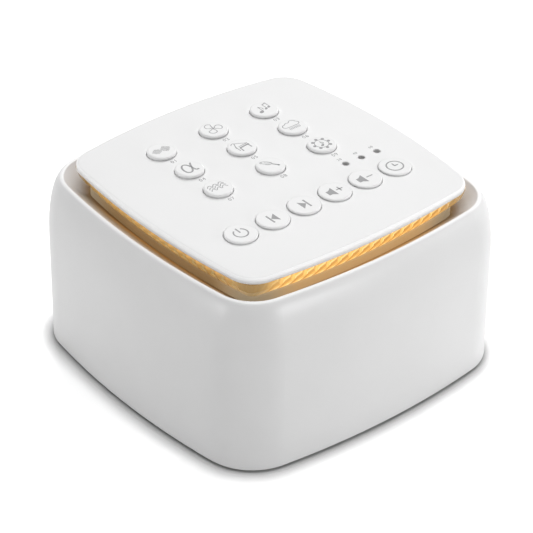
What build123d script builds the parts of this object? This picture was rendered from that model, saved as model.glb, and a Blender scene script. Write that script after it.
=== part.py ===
"""White noise sound machine: a rounded-square table unit with a key panel over a glowing prism ring.

Units are millimetres. The origin is the middle of the base, on the surface that the feet stand on.
+Z is up, -Y is the front, and the keys read upright towards +Y.
Each piece is written to parts/NAME.step as its own solid, or as a group of identical solids.
"""
from build123d import *
from math import atan2, cos, degrees, pi, radians, sin, sqrt, tan
import os

# ---------------------------------------------------------------- housing outline
HOUSING_HALF = 52.0         # half the width, at the middle of a side
SIDE_RADIUS = 246.6         # of the bowed sides
CORNER_RADIUS = 16.7

# ---------------------------------------------------------------- housing section
WALL = 2.2
EDGE_HEIGHT = 0.7           # lower edge of the side wall above the table
EDGE_CHAMFER = 0.2
RIM_HEIGHT = 53.4           # crest of the rim above the table
SHOULDER_DROP = 18.2        # height of the soft shoulder
SHOULDER_REACH = 4.4        # how far the shoulder leans in
FUNNEL_REACH = 12.5         # inset of the funnel's foot
FUNNEL_DROP = 6.4           # from the crest to the funnel's foot
FUNNEL_SAG = 0.35           # hollow of the funnel's slope
NOSE = 0.6                  # width of the rounded crest
DECK_DROP = 8.4             # from the crest to the deck that carries the top assembly
DECK_THICKNESS = 2.0
DECK_OPENING_INSET = 26.0
DECK_OPENING_CORNER = 6.0

# ---------------------------------------------------------------- base, feet and case screws
BASE_LOW = 1.2
BASE_THICKNESS = 2.4
BASE_CLEARANCE = 0.3        # between the base and the side wall
LIP_WIDTH = 1.2
LIP_HEIGHT = 2.4
FOOT_RADIUS = 6.0
FOOT_RECESS = 0.5
FOOT_INSET = 17.0           # of each foot's middle from the housing's sides
POST_RADIUS = 3.2
POST_INSET_X = 16.0
POST_INSET_Y = 28.0
CASE_SCREW = 1.4            # shank radius
CASE_SCREW_HEAD = 2.6
CASE_SCREW_LENGTH = 9.0
HEAD_HEIGHT = 1.2
SCREW_CLEARANCE = 0.2
BITE = 0.05                 # gap between a shank and its pilot hole

# ---------------------------------------------------------------- key plate
PLATE_INSET = 8.5
PLATE_LIFT = 2.7            # of the plate's lower face above the rim's crest
PLATE_THICKNESS = 3.0       # at its middle
CROWN_RADIUS = 1081.6
PLATE_ROUND = 0.8
PLATE_SCREW_INSET = 23.0    # of each plate screw from the housing's sides
PLATE_BOSS_RADIUS = 2.0
PLATE_SCREW = 0.9
PLATE_SCREW_HEAD = 1.8
PLATE_SCREW_LENGTH = 10.0

# ---------------------------------------------------------------- keys and switches
SOUND_KEY_RADIUS = 4.15
SOUND_KEY_RAISE = 1.0
SOUND_MARGIN = 24.72        # from the outer columns' middles to the plate's sides
BACK_MARGIN = 18.16         # from the rear row's middle to the plate's rear side
ROW_GROUP_GAP = 1.6376      # from the last sound row to the control row, in row pitches
CONTROL_KEY_SPACING = 1.73  # between the sides of neighbouring control keys
CONTROL_KEY_RAISE = 0.6
CONTROL_MARGIN = 15.675     # from the outer control keys' middles to the plate's sides
FRONT_MARGIN = 22.06        # from the control row's middle to the plate's front side
KEY_GAP = 0.15              # round each key
KEY_ROUND = 0.35
KEY_WALL = 1.0
KEY_LIP = 0.55              # retaining lip beyond the key's side
KEY_LIP_HEIGHT = 0.8
KEY_LIP_GAP = 0.1           # under the plate
KEY_TRAVEL = 0.35
KEY_POST_RADIUS = 1.6
STEM_RADIUS = 1.7
STEM_GAP = 0.1
STEM_DEPTH = 0.8            # how deep a stem sits in its switch
SWITCH_SIZE = 6.0
SWITCH_HEIGHT = 3.5
SOUND_KEYS = (
    ("key_white_noise", "key_fan", "key_lullaby"),
    ("key_deep_tone", "key_piano", "key_rain"),
    ("key_waves", "key_birds", "key_own_sound"),
)
CONTROL_KEYS = ("key_power", "key_previous", "key_next", "key_volume_up", "key_volume_down", "key_timer")

# ---------------------------------------------------------------- timer indicators
INDICATOR_MARGIN = 19.65    # from the middle one to the plate's right side
INDICATOR_PITCH = 5.85
INDICATOR_RISE = 9.73       # behind the control row
INDICATOR_HOLE = 1.025
PIPE_GAP = 0.1
PIPE_RECESS = 1.6           # below the plate's upper face
PIPE_FOOT_RADIUS = 1.5
PIPE_FOOT_HEIGHT = 0.8

# ---------------------------------------------------------------- boards
BOARD_THICKNESS = 1.6
KEY_BOARD_LIFT = 3.0        # above the deck
KEY_BOARD_GAP = 0.3         # to the inner frame's walls
CHIP_SIZE = 1.6             # of a small light
CHIP_HEIGHT = 0.6
MAIN_BOARD_LIFT = 4.4       # above the base
MAIN_BOARD_WIDTH = 62.0
MAIN_BOARD_DEPTH = 17.2
MAIN_BOARD_INSET = 4.8      # of its rear edge from the housing's rear side
BOARD_BOSS_RADIUS = 2.2
BOARD_MARGIN = 0.8          # from a boss to the edge of its board
SMALL_SCREW = 0.8
SMALL_SCREW_HEAD = 1.6
SMALL_SCREW_LENGTH = 3.4
SMALL_HEAD_HEIGHT = 0.9

# ---------------------------------------------------------------- inner frame and light ring
FRAME_INSET = 17.0
FRAME_CORNER = 4.0
FRAME_WALL = 1.5
FRAME_FLOOR = 1.5
FRAME_TOP_GAP = 0.3         # under the plate
STRIP_THICKNESS = 0.3
STRIP_LIFT = 1.6            # above the deck
STRIP_HEIGHT = 5.0
LED_WIDTH = 2.8
LED_DEPTH = 0.8
LED_GAP = 0.02              # behind each light, at the strip's bowed face
LEDS_PER_SIDE = 5
LED_PITCH = 12.5
BAND_GAP = 0.1              # between the diffuser band and the funnel's foot
BAND_CORNER = 2.6
BAND_THICKNESS = 1.0
BAND_HEIGHT = 4.5
BAND_ROUND = 0.35
PRISM_GAP = 0.2             # behind the diffuser band
PRISM_WALL = 1.5
PRISM_TOP_GAP = 0.2         # under the plate
BELT_GAP = 0.1              # over the diffuser band
BELT_CORNER = 2.3           # at the belt's foot
BELT_SETBACK = 0.3          # of the belt's foot from the band's outer face
ELBOW_HEIGHT = 3.1          # of the elbow in each prism above the belt's foot
ELBOW_REACH = 2.8           # how far the belt leans out at the elbow
BELT_REACH = 3.9            # and at its top
PRISMS_PER_SIDE = 18
PRISM_DEPTH = 0.8           # from a ridge to a valley
PRISM_SLANT = 0.13          # of a pitch, from the foot of a ridge to its elbow
PRISM_HOOK = 0.5            # of a pitch, from the elbow back to the top
CORNER_STEPS = 8            # facets round each plain corner
CORNER_RIB = 0.35           # how far the two middle ones stand proud as a rib

# ---------------------------------------------------------------- speaker
SPEAKER_SEAT = 0.8          # height of the ring that the speaker stands on
SPEAKER_RADIUS = 26.0
SPEAKER_RIM = 3.4           # width of the flange
SPEAKER_FLANGE = 1.2        # its thickness
BASKET_HEIGHT = 9.6         # from the flange's lower face to the spider's ledge
BASKET_THICKNESS = 1.0
WINDOW_SILL = 3.0           # from the flange's lower face to the basket's windows
WINDOW_WIDTH = 14.0
WASHER_HEIGHT = 3.4         # from the spider's ledge to the magnet
WASHER_THICKNESS = 2.0
MAGNET_RADIUS = 14.0
MAGNET_HOLE = 8.0
MAGNET_HEIGHT = 5.0
YOKE_RADIUS = 13.0
YOKE_HEIGHT = 2.4
POLE_RADIUS = 6.2
COIL_GAP = 0.25             # each side of the coil
COIL_THICKNESS = 0.3
COIL_HEIGHT = 7.0
CONE_THICKNESS = 0.5
CONE_DEPTH = 5.6
CAP_HEIGHT = 2.6
SURROUND_WIDTH = 2.6
SURROUND_THICKNESS = 0.4
SPIDER_RADIUS = 13.0
SPIDER_SEAT = 1.0
SPIDER_WAVES = 3
SPIDER_WAVE_DEPTH = 0.6
GRILLE_MARGIN = 2.6         # from the slots' ends to the speaker's opening
SLOT_WIDTH = 1.8
SLOT_PITCH = 3.6

# ---------------------------------------------------------------- sockets in the rear wall
SOCKET_RECESS = 0.4         # of each socket's face behind the rear wall's outer face
SOCKET_CLEARANCE = 0.25     # round a socket in the rear wall
JACK_X = -17.0
JACK_BORE = 1.8
JACK_BORE_LENGTH = 12.0
JACK_NOSE_RADIUS = 3.0
JACK_WIDTH = 7.0
JACK_HEIGHT = 6.0
JACK_LENGTH = 13.0
JACK_OVERHANG = 0.4         # beyond the main board's rear edge
INLET_X = 17.0
INLET_WIDTH = 8.94
INLET_HEIGHT = 3.26
INLET_LENGTH = 7.4
INLET_SKIN = 0.3
INLET_TONGUE = 0.7
INLET_TONGUE_WIDTH = 6.3
CARD_X = 0.0
CARD_WIDTH = 14.0
CARD_HEIGHT = 1.9
CARD_LENGTH = 15.0
CARD_BACK_WALL = 1.0
CARD_SLOT_WIDTH = 11.4
CARD_SLOT_HEIGHT = 1.1

# ---------------------------------------------------------------- wiring
RIBBON_WIDTH = 8.0
RIBBON_THICKNESS = 0.8
RIBBON_SLOT_WIDTH = 10.0    # in the inner frame's floor
RIBBON_SLOT_DEPTH = 4.8
RIBBON_MARGIN = 2.4         # from the ribbon to the rear side of the deck's opening
RIBBON_BEND = 14.0          # height above the main board where the ribbon turns back
RIBBON_DROP = 7.0           # and where it turns down again
WIRE_LANDING = 3.0          # from the main board's front edge
LEAD_RADIUS = 0.6
LEAD_PITCH = 2.4
LEAD_X = 9.0
LEAD_ARCH = 5.0             # height of the leads above the main board
TURN_SHARE = 0.45           # of the shorter run that a turn takes up

# ---------------------------------------------------------------- derived places
BASE_TOP = BASE_LOW + BASE_THICKNESS
FOOT_PLACE = HOUSING_HALF - FOOT_INSET
POST_X = HOUSING_HALF - POST_INSET_X
POST_Y = HOUSING_HALF - POST_INSET_Y
DECK_HEIGHT = RIM_HEIGHT - DECK_DROP
DECK_LOW = DECK_HEIGHT - DECK_THICKNESS
PLATE_HALF = HOUSING_HALF - PLATE_INSET
PLATE_LOW = RIM_HEIGHT + PLATE_LIFT
PLATE_TOP = PLATE_LOW + PLATE_THICKNESS
PLATE_SCREW_PLACE = HOUSING_HALF - PLATE_SCREW_INSET
CONTROL_Y = FRONT_MARGIN - PLATE_HALF
CONTROL_PITCH = 2 * (PLATE_HALF - CONTROL_MARGIN) / (len(CONTROL_KEYS) - 1)
CONTROL_KEY_RADIUS = (CONTROL_PITCH - CONTROL_KEY_SPACING) / 2
SOUND_PITCH_X = PLATE_HALF - SOUND_MARGIN
SOUND_BACK_Y = PLATE_HALF - BACK_MARGIN
SOUND_PITCH_Y = (SOUND_BACK_Y - CONTROL_Y) / (len(SOUND_KEYS) - 1 + ROW_GROUP_GAP)
INDICATOR_X = PLATE_HALF - INDICATOR_MARGIN
INDICATOR_Y = CONTROL_Y + INDICATOR_RISE
FUNNEL_FOOT = RIM_HEIGHT - FUNNEL_DROP
BAND_INSET = FUNNEL_REACH + BAND_GAP
PRISM_INSET = BAND_INSET + BAND_THICKNESS + PRISM_GAP
BELT_INSET = BAND_INSET + BELT_SETBACK
BELT_LOW = DECK_HEIGHT + BAND_HEIGHT + BELT_GAP
PRISM_TOP = PLATE_LOW - PRISM_TOP_GAP
KEY_BOARD_LOW = DECK_HEIGHT + KEY_BOARD_LIFT
KEY_BOARD_TOP = KEY_BOARD_LOW + BOARD_THICKNESS
KEY_BOARD_INSET = FRAME_INSET + FRAME_WALL + KEY_BOARD_GAP
FRAME_FLOOR_TOP = DECK_HEIGHT + FRAME_FLOOR
STRIP_LOW = DECK_HEIGHT + STRIP_LIFT
SWITCH_TOP = KEY_BOARD_TOP + SWITCH_HEIGHT
KEY_LIP_TOP = PLATE_LOW - KEY_LIP_GAP
KEY_LIP_LOW = KEY_LIP_TOP - KEY_LIP_HEIGHT
KEY_POST_LOW = SWITCH_TOP + KEY_TRAVEL + 2 * STEM_GAP
MAIN_BOARD_LOW = BASE_TOP + MAIN_BOARD_LIFT
MAIN_BOARD_TOP = MAIN_BOARD_LOW + BOARD_THICKNESS
MAIN_BOARD_BACK = HOUSING_HALF - MAIN_BOARD_INSET
MAIN_BOARD_FRONT = MAIN_BOARD_BACK - MAIN_BOARD_DEPTH
RIBBON_Y = HOUSING_HALF - DECK_OPENING_INSET - RIBBON_MARGIN
SPEAKER_LOW = BASE_TOP + SPEAKER_SEAT
SPEAKER_OPENING = SPEAKER_RADIUS - SPEAKER_RIM
GRILLE_RADIUS = SPEAKER_OPENING - GRILLE_MARGIN
CONE_RADIUS = SPEAKER_OPENING - BASKET_THICKNESS - SURROUND_WIDTH
SPEAKER_SCREW_END = SPEAKER_LOW + SPEAKER_FLANGE - SMALL_SCREW_LENGTH - BITE
SPIDER_LEDGE = SPEAKER_LOW + BASKET_HEIGHT
WASHER_TOP = SPIDER_LEDGE + WASHER_HEIGHT
MAGNET_TOP = WASHER_TOP + MAGNET_HEIGHT
COIL_RADIUS = POLE_RADIUS + COIL_GAP
WASHER_HOLE = COIL_RADIUS + COIL_THICKNESS + COIL_GAP
CONE_LOW = SPEAKER_LOW + SPEAKER_FLANGE
CONE_NECK = COIL_RADIUS + COIL_THICKNESS

CORNERS = [(x, y) for x in (-1, 1) for y in (-1, 1)]


class Loop:
    """A square with bowed sides and round corners that keeps its distance from the housing's outline."""

    def __init__(self, inset, corner=None):
        self.half = HOUSING_HALF - inset
        self.side = SIDE_RADIUS - inset
        self.corner = CORNER_RADIUS - inset if corner is None else corner
        self.bow = self.side - self.half
        self.centre = (sqrt(2 * (self.side - self.corner) ** 2 - self.bow ** 2) - self.bow) / 2
        self.angle = degrees(atan2(self.centre, self.centre + self.bow))

    def arcs(self):
        """The two arcs of a quarter, as (centre x, centre y, radius, start angle, arc angle)."""
        side_arc = (-self.bow, 0, self.side, -self.angle, 2 * self.angle)
        corner_arc = (self.centre, self.centre, self.corner, self.angle, 90 - 2 * self.angle)
        return side_arc, corner_arc

    def face(self):
        edges = [
            CenterArc((x, y), radius, start, sweep_angle).rotate(Axis.Z, 90 * quarter)
            for quarter in range(4)
            for x, y, radius, start, sweep_angle in self.arcs()
        ]
        return make_face(Wire(edges))

    def block(self, low, high):
        return Pos(0, 0, low) * extrude(self.face(), high - low)

    def ring(self, profile):
        """Carry a profile round the loop: its X is the distance inwards from the loop, its Y the height."""
        pieces = []
        for x, y, radius, start, sweep_angle in self.arcs():
            section = Plane.XZ * (Pos(radius, 0) * mirror(profile, Plane.YZ))
            turned_section = Pos(x, y, 0) * Rot(0, 0, start) * section
            pieces.append(revolve(turned_section, Axis((x, y, 0), (0, 0, 1)), sweep_angle))
        quarter = pieces[0] + pieces[1]
        whole = quarter
        for turn in (1, 2, 3):
            whole += Rot(0, 0, 90 * turn) * quarter
        return whole

    def length(self):
        return sum(4 * radius * radians(sweep_angle) for _, _, radius, _, sweep_angle in self.arcs())

    def side_length(self):
        return 2 * radians(self.angle) * self.side

    def spot(self, distance):
        """The point at a distance along the loop, and the way outwards there, in degrees."""
        quarter_length = self.length() / 4
        quarter, rest = divmod(distance, quarter_length)
        (x, y, radius, start, _), corner_arc = self.arcs()
        if rest > self.side_length():
            rest -= self.side_length()
            x, y, radius, start, _ = corner_arc
        direction = start + degrees(rest / radius)
        point = Vector(x + radius * cos(radians(direction)), y + radius * sin(radians(direction)))
        return point.rotate(Axis.Z, 90 * quarter), direction + 90 * quarter


def plate_height(x, y):
    """Height of the crowned plate's upper face."""
    return PLATE_TOP - CROWN_RADIUS + sqrt(CROWN_RADIUS ** 2 - x * x - y * y)


def rear_wall(x):
    """How far back the housing's outer face lies."""
    return sqrt(SIDE_RADIUS ** 2 - x * x) - (SIDE_RADIUS - HOUSING_HALF)


def rod(radius, low, high, x=0.0, y=0.0):
    return Pos(x, y, low) * Cylinder(radius, high - low, align=(Align.CENTER, Align.CENTER, Align.MIN))


def slab(width, depth, low, high, x=0.0, y=0.0):
    return Pos(x, y, low) * Box(width, depth, high - low, align=(Align.CENTER, Align.CENTER, Align.MIN))


def turned(*points):
    """A solid of revolution about Z, from (radius, height) points."""
    return revolve(make_face(Plane.XZ * Polyline(*points, close=True)), Axis.Z)


def screw(x, y, shank, head, length, head_height, seat, up=True):
    """A pan-head screw whose head bears on the height `seat`, with its shank pointing up or down."""
    way = 1 if up else -1
    body = rod(shank, 0, length) + rod(head, -head_height, 0)
    body = chamfer(body.faces().sort_by(Axis.Z)[0].edges(), head_height / 3)
    slot = slab(2 * head, head / 3, -head_height, -head_height / 2)
    return Pos(x, y, seat) * Rot(0 if way > 0 else 180, 0, 0) * (body - slot)


def key_places():
    """Each key's name, place, radius and height above the plate."""
    places = []
    for row, names in enumerate(SOUND_KEYS):
        for column, name in enumerate(names):
            x = (column - 1) * SOUND_PITCH_X
            y = SOUND_BACK_Y - row * SOUND_PITCH_Y
            places.append((name, x, y, SOUND_KEY_RADIUS, SOUND_KEY_RAISE))
    for column, name in enumerate(CONTROL_KEYS):
        x = (column - (len(CONTROL_KEYS) - 1) / 2) * CONTROL_PITCH
        places.append((name, x, CONTROL_Y, CONTROL_KEY_RADIUS, CONTROL_KEY_RAISE))
    return places


def indicator_places():
    return [(INDICATOR_X + step * INDICATOR_PITCH, INDICATOR_Y) for step in (-1, 0, 1)]


def plate_screw_places():
    return [(PLATE_SCREW_PLACE * x, PLATE_SCREW_PLACE * y) for x, y in CORNERS]


def post_places():
    return [(POST_X * x, POST_Y * y) for x, y in CORNERS]


def key_board_screw_places():
    """Between the keys, clear of every switch."""
    x = SOUND_PITCH_X / 2
    return [(x * side, y) for side in (-1, 1) for y in (SOUND_BACK_Y, SOUND_PITCH_Y - SOUND_BACK_Y)]


def main_board_screw_places():
    inset = BOARD_BOSS_RADIUS + BOARD_MARGIN
    x = MAIN_BOARD_WIDTH / 2 - inset
    return [(-x, MAIN_BOARD_FRONT + inset), (x, MAIN_BOARD_FRONT + inset), (x, MAIN_BOARD_BACK - inset)]


def speaker_screw_places():
    reach = (SPEAKER_RADIUS + SPEAKER_OPENING) / 2 * sin(pi / 4)
    return [(reach * x, reach * y) for x, y in CORNERS]


# ---------------------------------------------------------------- housing

def housing_profile():
    """Half section of the side wall, soft shoulder, rim, funnel and trough, with X as the inset."""
    crest = (SHOULDER_REACH, RIM_HEIGHT)
    shoulder_foot = RIM_HEIGHT - SHOULDER_DROP
    nose_end = (SHOULDER_REACH + NOSE, RIM_HEIGHT - NOSE / 2)
    foot = (FUNNEL_REACH, FUNNEL_FOOT)
    run, fall = foot[0] - nose_end[0], nose_end[1] - foot[1]
    slope = sqrt(run ** 2 + fall ** 2)
    middle = ((foot[0] + nose_end[0]) / 2 - FUNNEL_SAG * fall / slope,
              (foot[1] + nose_end[1]) / 2 - FUNNEL_SAG * run / slope)
    under = FUNNEL_REACH - WALL / 2
    inner_crest = (SHOULDER_REACH + WALL / 2, RIM_HEIGHT - 2 * WALL)
    trough = FUNNEL_REACH + BAND_GAP + BAND_THICKNESS + PRISM_GAP + PRISM_WALL
    outside = [
        Line((EDGE_CHAMFER, EDGE_HEIGHT), (0, EDGE_HEIGHT + EDGE_CHAMFER)),
        Line((0, EDGE_HEIGHT + EDGE_CHAMFER), (0, shoulder_foot)),
        EllipticalCenterArc((SHOULDER_REACH, shoulder_foot), SHOULDER_REACH, SHOULDER_DROP, 90,
                            arc_size=90),
        TangentArc(crest, nose_end, tangent=(1, 0)),
        ThreePointArc(nose_end, middle, foot),
        Line(foot, (FUNNEL_REACH, DECK_HEIGHT)),
        Line((FUNNEL_REACH, DECK_HEIGHT), (trough, DECK_HEIGHT)),
        Line((trough, DECK_HEIGHT), (trough, DECK_LOW)),
    ]
    inside = Polyline(
        (trough, DECK_LOW), (under, DECK_LOW), (under, FUNNEL_FOOT - WALL), inner_crest,
        (WALL, shoulder_foot), (WALL, EDGE_HEIGHT), (EDGE_CHAMFER, EDGE_HEIGHT),
    )
    return make_face(Wire([*outside, *inside.edges()]))


def socket_cuts():
    """What the three sockets need open in the rear wall."""
    axis_height = MAIN_BOARD_TOP + JACK_HEIGHT / 2
    depth = 4 * WALL
    jack = Cylinder(JACK_NOSE_RADIUS + SOCKET_CLEARANCE, depth)
    jack = Pos(JACK_X, HOUSING_HALF, axis_height) * Rot(90, 0, 0) * jack
    inlet = SlotOverall(INLET_WIDTH + 2 * SOCKET_CLEARANCE, INLET_HEIGHT + 2 * SOCKET_CLEARANCE)
    inlet = Rot(90, 0, 0) * extrude(inlet, depth / 2, both=True)
    inlet = Pos(INLET_X, HOUSING_HALF, MAIN_BOARD_TOP + INLET_HEIGHT / 2) * inlet
    card = slab(CARD_WIDTH + 2 * SOCKET_CLEARANCE, depth, MAIN_BOARD_TOP - SOCKET_CLEARANCE,
                MAIN_BOARD_TOP + CARD_HEIGHT + SOCKET_CLEARANCE, CARD_X, HOUSING_HALF)
    return [jack, inlet, card]


def outer_shell():
    shell = Loop(0).ring(housing_profile())
    deck = Loop(FUNNEL_REACH + BAND_THICKNESS).block(DECK_LOW, DECK_HEIGHT)
    deck -= Loop(DECK_OPENING_INSET, DECK_OPENING_CORNER).block(DECK_LOW, DECK_HEIGHT)
    shell += deck
    shell -= Loop(FUNNEL_REACH, BAND_CORNER + BAND_GAP).block(DECK_HEIGHT, RIM_HEIGHT)
    for x, y in post_places():
        shell += rod(POST_RADIUS, BASE_TOP, DECK_LOW, x, y)
        shell -= rod(CASE_SCREW + BITE, BASE_TOP, BASE_TOP + CASE_SCREW_LENGTH, x, y)
    for x, y in plate_screw_places():
        shell -= rod(PLATE_SCREW + SCREW_CLEARANCE, DECK_LOW, DECK_HEIGHT, x, y)
    for cut in socket_cuts():
        shell -= cut
    return shell


def grille_slots():
    """Parallel round-ended slots that fill a circle."""
    rows = int(GRILLE_RADIUS / SLOT_PITCH)
    slots = []
    for row in range(-rows, rows + 1):
        y = row * SLOT_PITCH
        length = 2 * sqrt(GRILLE_RADIUS ** 2 - y * y)
        if length > 2 * SLOT_PITCH:
            slots.append(Pos(0, y, BASE_LOW) * extrude(SlotOverall(length, SLOT_WIDTH), BASE_THICKNESS))
    return slots


def base_cover():
    inset = WALL + BASE_CLEARANCE
    base = Loop(inset).block(BASE_LOW, BASE_TOP)
    base += Loop(inset).block(BASE_TOP, BASE_TOP + LIP_HEIGHT) - Loop(inset + LIP_WIDTH).block(
        BASE_TOP, BASE_TOP + LIP_HEIGHT)
    base += rod(SPEAKER_RADIUS, BASE_TOP, SPEAKER_LOW) - rod(SPEAKER_OPENING, BASE_TOP, SPEAKER_LOW)
    for x, y in main_board_screw_places():
        base += rod(BOARD_BOSS_RADIUS, BASE_TOP, MAIN_BOARD_LOW, x, y)
        base -= rod(SMALL_SCREW + BITE, BASE_TOP, MAIN_BOARD_LOW, x, y)
    for x, y in speaker_screw_places():
        base -= rod(SMALL_SCREW + BITE, SPEAKER_SCREW_END, SPEAKER_LOW, x, y)
    for x, y in post_places():
        base -= rod(CASE_SCREW + SCREW_CLEARANCE, BASE_LOW, BASE_TOP, x, y)
        base -= rod(CASE_SCREW_HEAD + SCREW_CLEARANCE, BASE_LOW, BASE_LOW + HEAD_HEIGHT, x, y)
    for x, y in CORNERS:
        recess = rod(FOOT_RADIUS + SCREW_CLEARANCE, BASE_LOW, BASE_LOW + FOOT_RECESS)
        base -= Pos(FOOT_PLACE * x, FOOT_PLACE * y, 0) * recess
    for slot in grille_slots():
        base -= slot
    return base


def rubber_feet():
    foot = rod(FOOT_RADIUS, 0, BASE_LOW + FOOT_RECESS)
    foot = fillet(foot.faces().sort_by(Axis.Z)[0].edges(), BASE_LOW / 3)
    return [Pos(FOOT_PLACE * x, FOOT_PLACE * y, 0) * foot for x, y in CORNERS]


def base_screws():
    return [
        screw(x, y, CASE_SCREW, CASE_SCREW_HEAD, CASE_SCREW_LENGTH, HEAD_HEIGHT, BASE_LOW + HEAD_HEIGHT)
        for x, y in post_places()
    ]


# ---------------------------------------------------------------- key plate, keys and switches

def top_plate():
    ball = Pos(0, 0, PLATE_TOP - CROWN_RADIUS) * Sphere(CROWN_RADIUS)
    plate = Loop(PLATE_INSET).block(PLATE_LOW, PLATE_TOP) & ball
    rim = plate.faces().sort_by(Axis.Z)[-1].edges()
    plate = fillet(rim, PLATE_ROUND)
    for _, x, y, radius, _ in key_places():
        plate -= rod(radius + KEY_GAP, PLATE_LOW, PLATE_TOP, x, y)
    for x, y in indicator_places():
        plate -= rod(INDICATOR_HOLE, PLATE_LOW, PLATE_TOP, x, y)
    for x, y in plate_screw_places():
        plate += rod(PLATE_BOSS_RADIUS, FRAME_FLOOR_TOP, PLATE_LOW, x, y)
        plate -= rod(PLATE_SCREW + BITE, FRAME_FLOOR_TOP, DECK_LOW + PLATE_SCREW_LENGTH + BITE, x, y)
    return plate


def plate_screws():
    return [
        screw(x, y, PLATE_SCREW, PLATE_SCREW_HEAD, PLATE_SCREW_LENGTH, HEAD_HEIGHT, DECK_LOW)
        for x, y in plate_screw_places()
    ]


def key_cap(x, y, radius, raise_height):
    """A hollow cap with a rounded edge, a retaining lip below the plate and a post over its switch."""
    top = plate_height(x, y) + raise_height
    roof = top - KEY_WALL
    outline = [
        Line((0, KEY_POST_LOW), (KEY_POST_RADIUS, KEY_POST_LOW)),
        Line((KEY_POST_RADIUS, KEY_POST_LOW), (KEY_POST_RADIUS, roof)),
        Line((KEY_POST_RADIUS, roof), (radius - KEY_WALL, roof)),
        Line((radius - KEY_WALL, roof), (radius - KEY_WALL, KEY_LIP_LOW)),
        Line((radius - KEY_WALL, KEY_LIP_LOW), (radius + KEY_LIP, KEY_LIP_LOW)),
        Line((radius + KEY_LIP, KEY_LIP_LOW), (radius + KEY_LIP, KEY_LIP_TOP)),
        Line((radius + KEY_LIP, KEY_LIP_TOP), (radius, KEY_LIP_TOP)),
        Line((radius, KEY_LIP_TOP), (radius, top - KEY_ROUND)),
        CenterArc((radius - KEY_ROUND, top - KEY_ROUND), KEY_ROUND, 0, 90),
        Line((radius - KEY_ROUND, top), (0, top)),
        Line((0, top), (0, KEY_POST_LOW)),
    ]
    return Pos(x, y, 0) * revolve(Plane.XZ * make_face(Wire(outline)), Axis.Z)


def switch_stem(x, y):
    return rod(STEM_RADIUS, SWITCH_TOP - STEM_DEPTH, KEY_POST_LOW, x, y)


def switch_bases():
    well = STEM_DEPTH + KEY_TRAVEL + STEM_GAP
    bases = []
    for _, x, y, _, _ in key_places():
        base = slab(SWITCH_SIZE, SWITCH_SIZE, KEY_BOARD_TOP, SWITCH_TOP, x, y)
        bases.append(base - rod(STEM_RADIUS + STEM_GAP, SWITCH_TOP - well, SWITCH_TOP, x, y))
    return bases


def key_board():
    board = Loop(KEY_BOARD_INSET, FRAME_CORNER - FRAME_WALL).block(KEY_BOARD_LOW, KEY_BOARD_TOP)
    for x, y in plate_screw_places():
        notch = PLATE_BOSS_RADIUS + KEY_BOARD_GAP
        board -= rod(notch, KEY_BOARD_LOW, KEY_BOARD_TOP, x, y)
        board -= slab(2 * notch, 2 * notch, KEY_BOARD_LOW, KEY_BOARD_TOP,
                      x + notch * (1 if x > 0 else -1), y)
        board -= slab(2 * notch, 2 * notch, KEY_BOARD_LOW, KEY_BOARD_TOP,
                      x, y + notch * (1 if y > 0 else -1))
    for x, y in key_board_screw_places():
        board -= rod(SMALL_SCREW + SCREW_CLEARANCE, KEY_BOARD_LOW, KEY_BOARD_TOP, x, y)
    return board


def indicator_leds():
    high = KEY_BOARD_TOP + CHIP_HEIGHT
    return [slab(CHIP_SIZE, CHIP_SIZE, KEY_BOARD_TOP, high, x, y) for x, y in indicator_places()]


def indicator_pipes():
    low = KEY_BOARD_TOP + CHIP_HEIGHT + PIPE_GAP
    return [
        rod(PIPE_FOOT_RADIUS, low, low + PIPE_FOOT_HEIGHT, x, y)
        + rod(INDICATOR_HOLE - PIPE_GAP, low, plate_height(x, y) - PIPE_RECESS, x, y)
        for x, y in indicator_places()
    ]


# ---------------------------------------------------------------- inner frame and light ring

def inner_frame():
    """A tray on the deck: it carries the key board, and its wall holds the light strip."""
    outer = Loop(FRAME_INSET, FRAME_CORNER)
    inner = Loop(FRAME_INSET + FRAME_WALL, FRAME_CORNER - FRAME_WALL)
    frame = outer.block(DECK_HEIGHT, PLATE_LOW - FRAME_TOP_GAP)
    frame -= inner.block(FRAME_FLOOR_TOP, PLATE_LOW)
    for x, y in key_board_screw_places():
        frame += rod(BOARD_BOSS_RADIUS, FRAME_FLOOR_TOP, KEY_BOARD_LOW, x, y)
        frame -= rod(SMALL_SCREW + BITE, KEY_BOARD_TOP - SMALL_SCREW_LENGTH - BITE, KEY_BOARD_LOW, x, y)
    for x, y in plate_screw_places():
        frame -= rod(PLATE_SCREW + SCREW_CLEARANCE, DECK_HEIGHT, FRAME_FLOOR_TOP, x, y)
    for _, x, y, radius, _ in key_places():
        relief = radius + KEY_LIP + KEY_BOARD_GAP
        frame -= rod(relief, KEY_LIP_LOW - KEY_TRAVEL - KEY_BOARD_GAP, PLATE_LOW, x, y)
    return frame - slab(RIBBON_SLOT_WIDTH, RIBBON_SLOT_DEPTH, DECK_HEIGHT, FRAME_FLOOR_TOP, 0, RIBBON_Y)


def light_strip():
    outer = Loop(FRAME_INSET - STRIP_THICKNESS, FRAME_CORNER + STRIP_THICKNESS)
    inner = Loop(FRAME_INSET, FRAME_CORNER)
    high = STRIP_LOW + STRIP_HEIGHT
    return outer.block(STRIP_LOW, high) - inner.block(STRIP_LOW, high)


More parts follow.
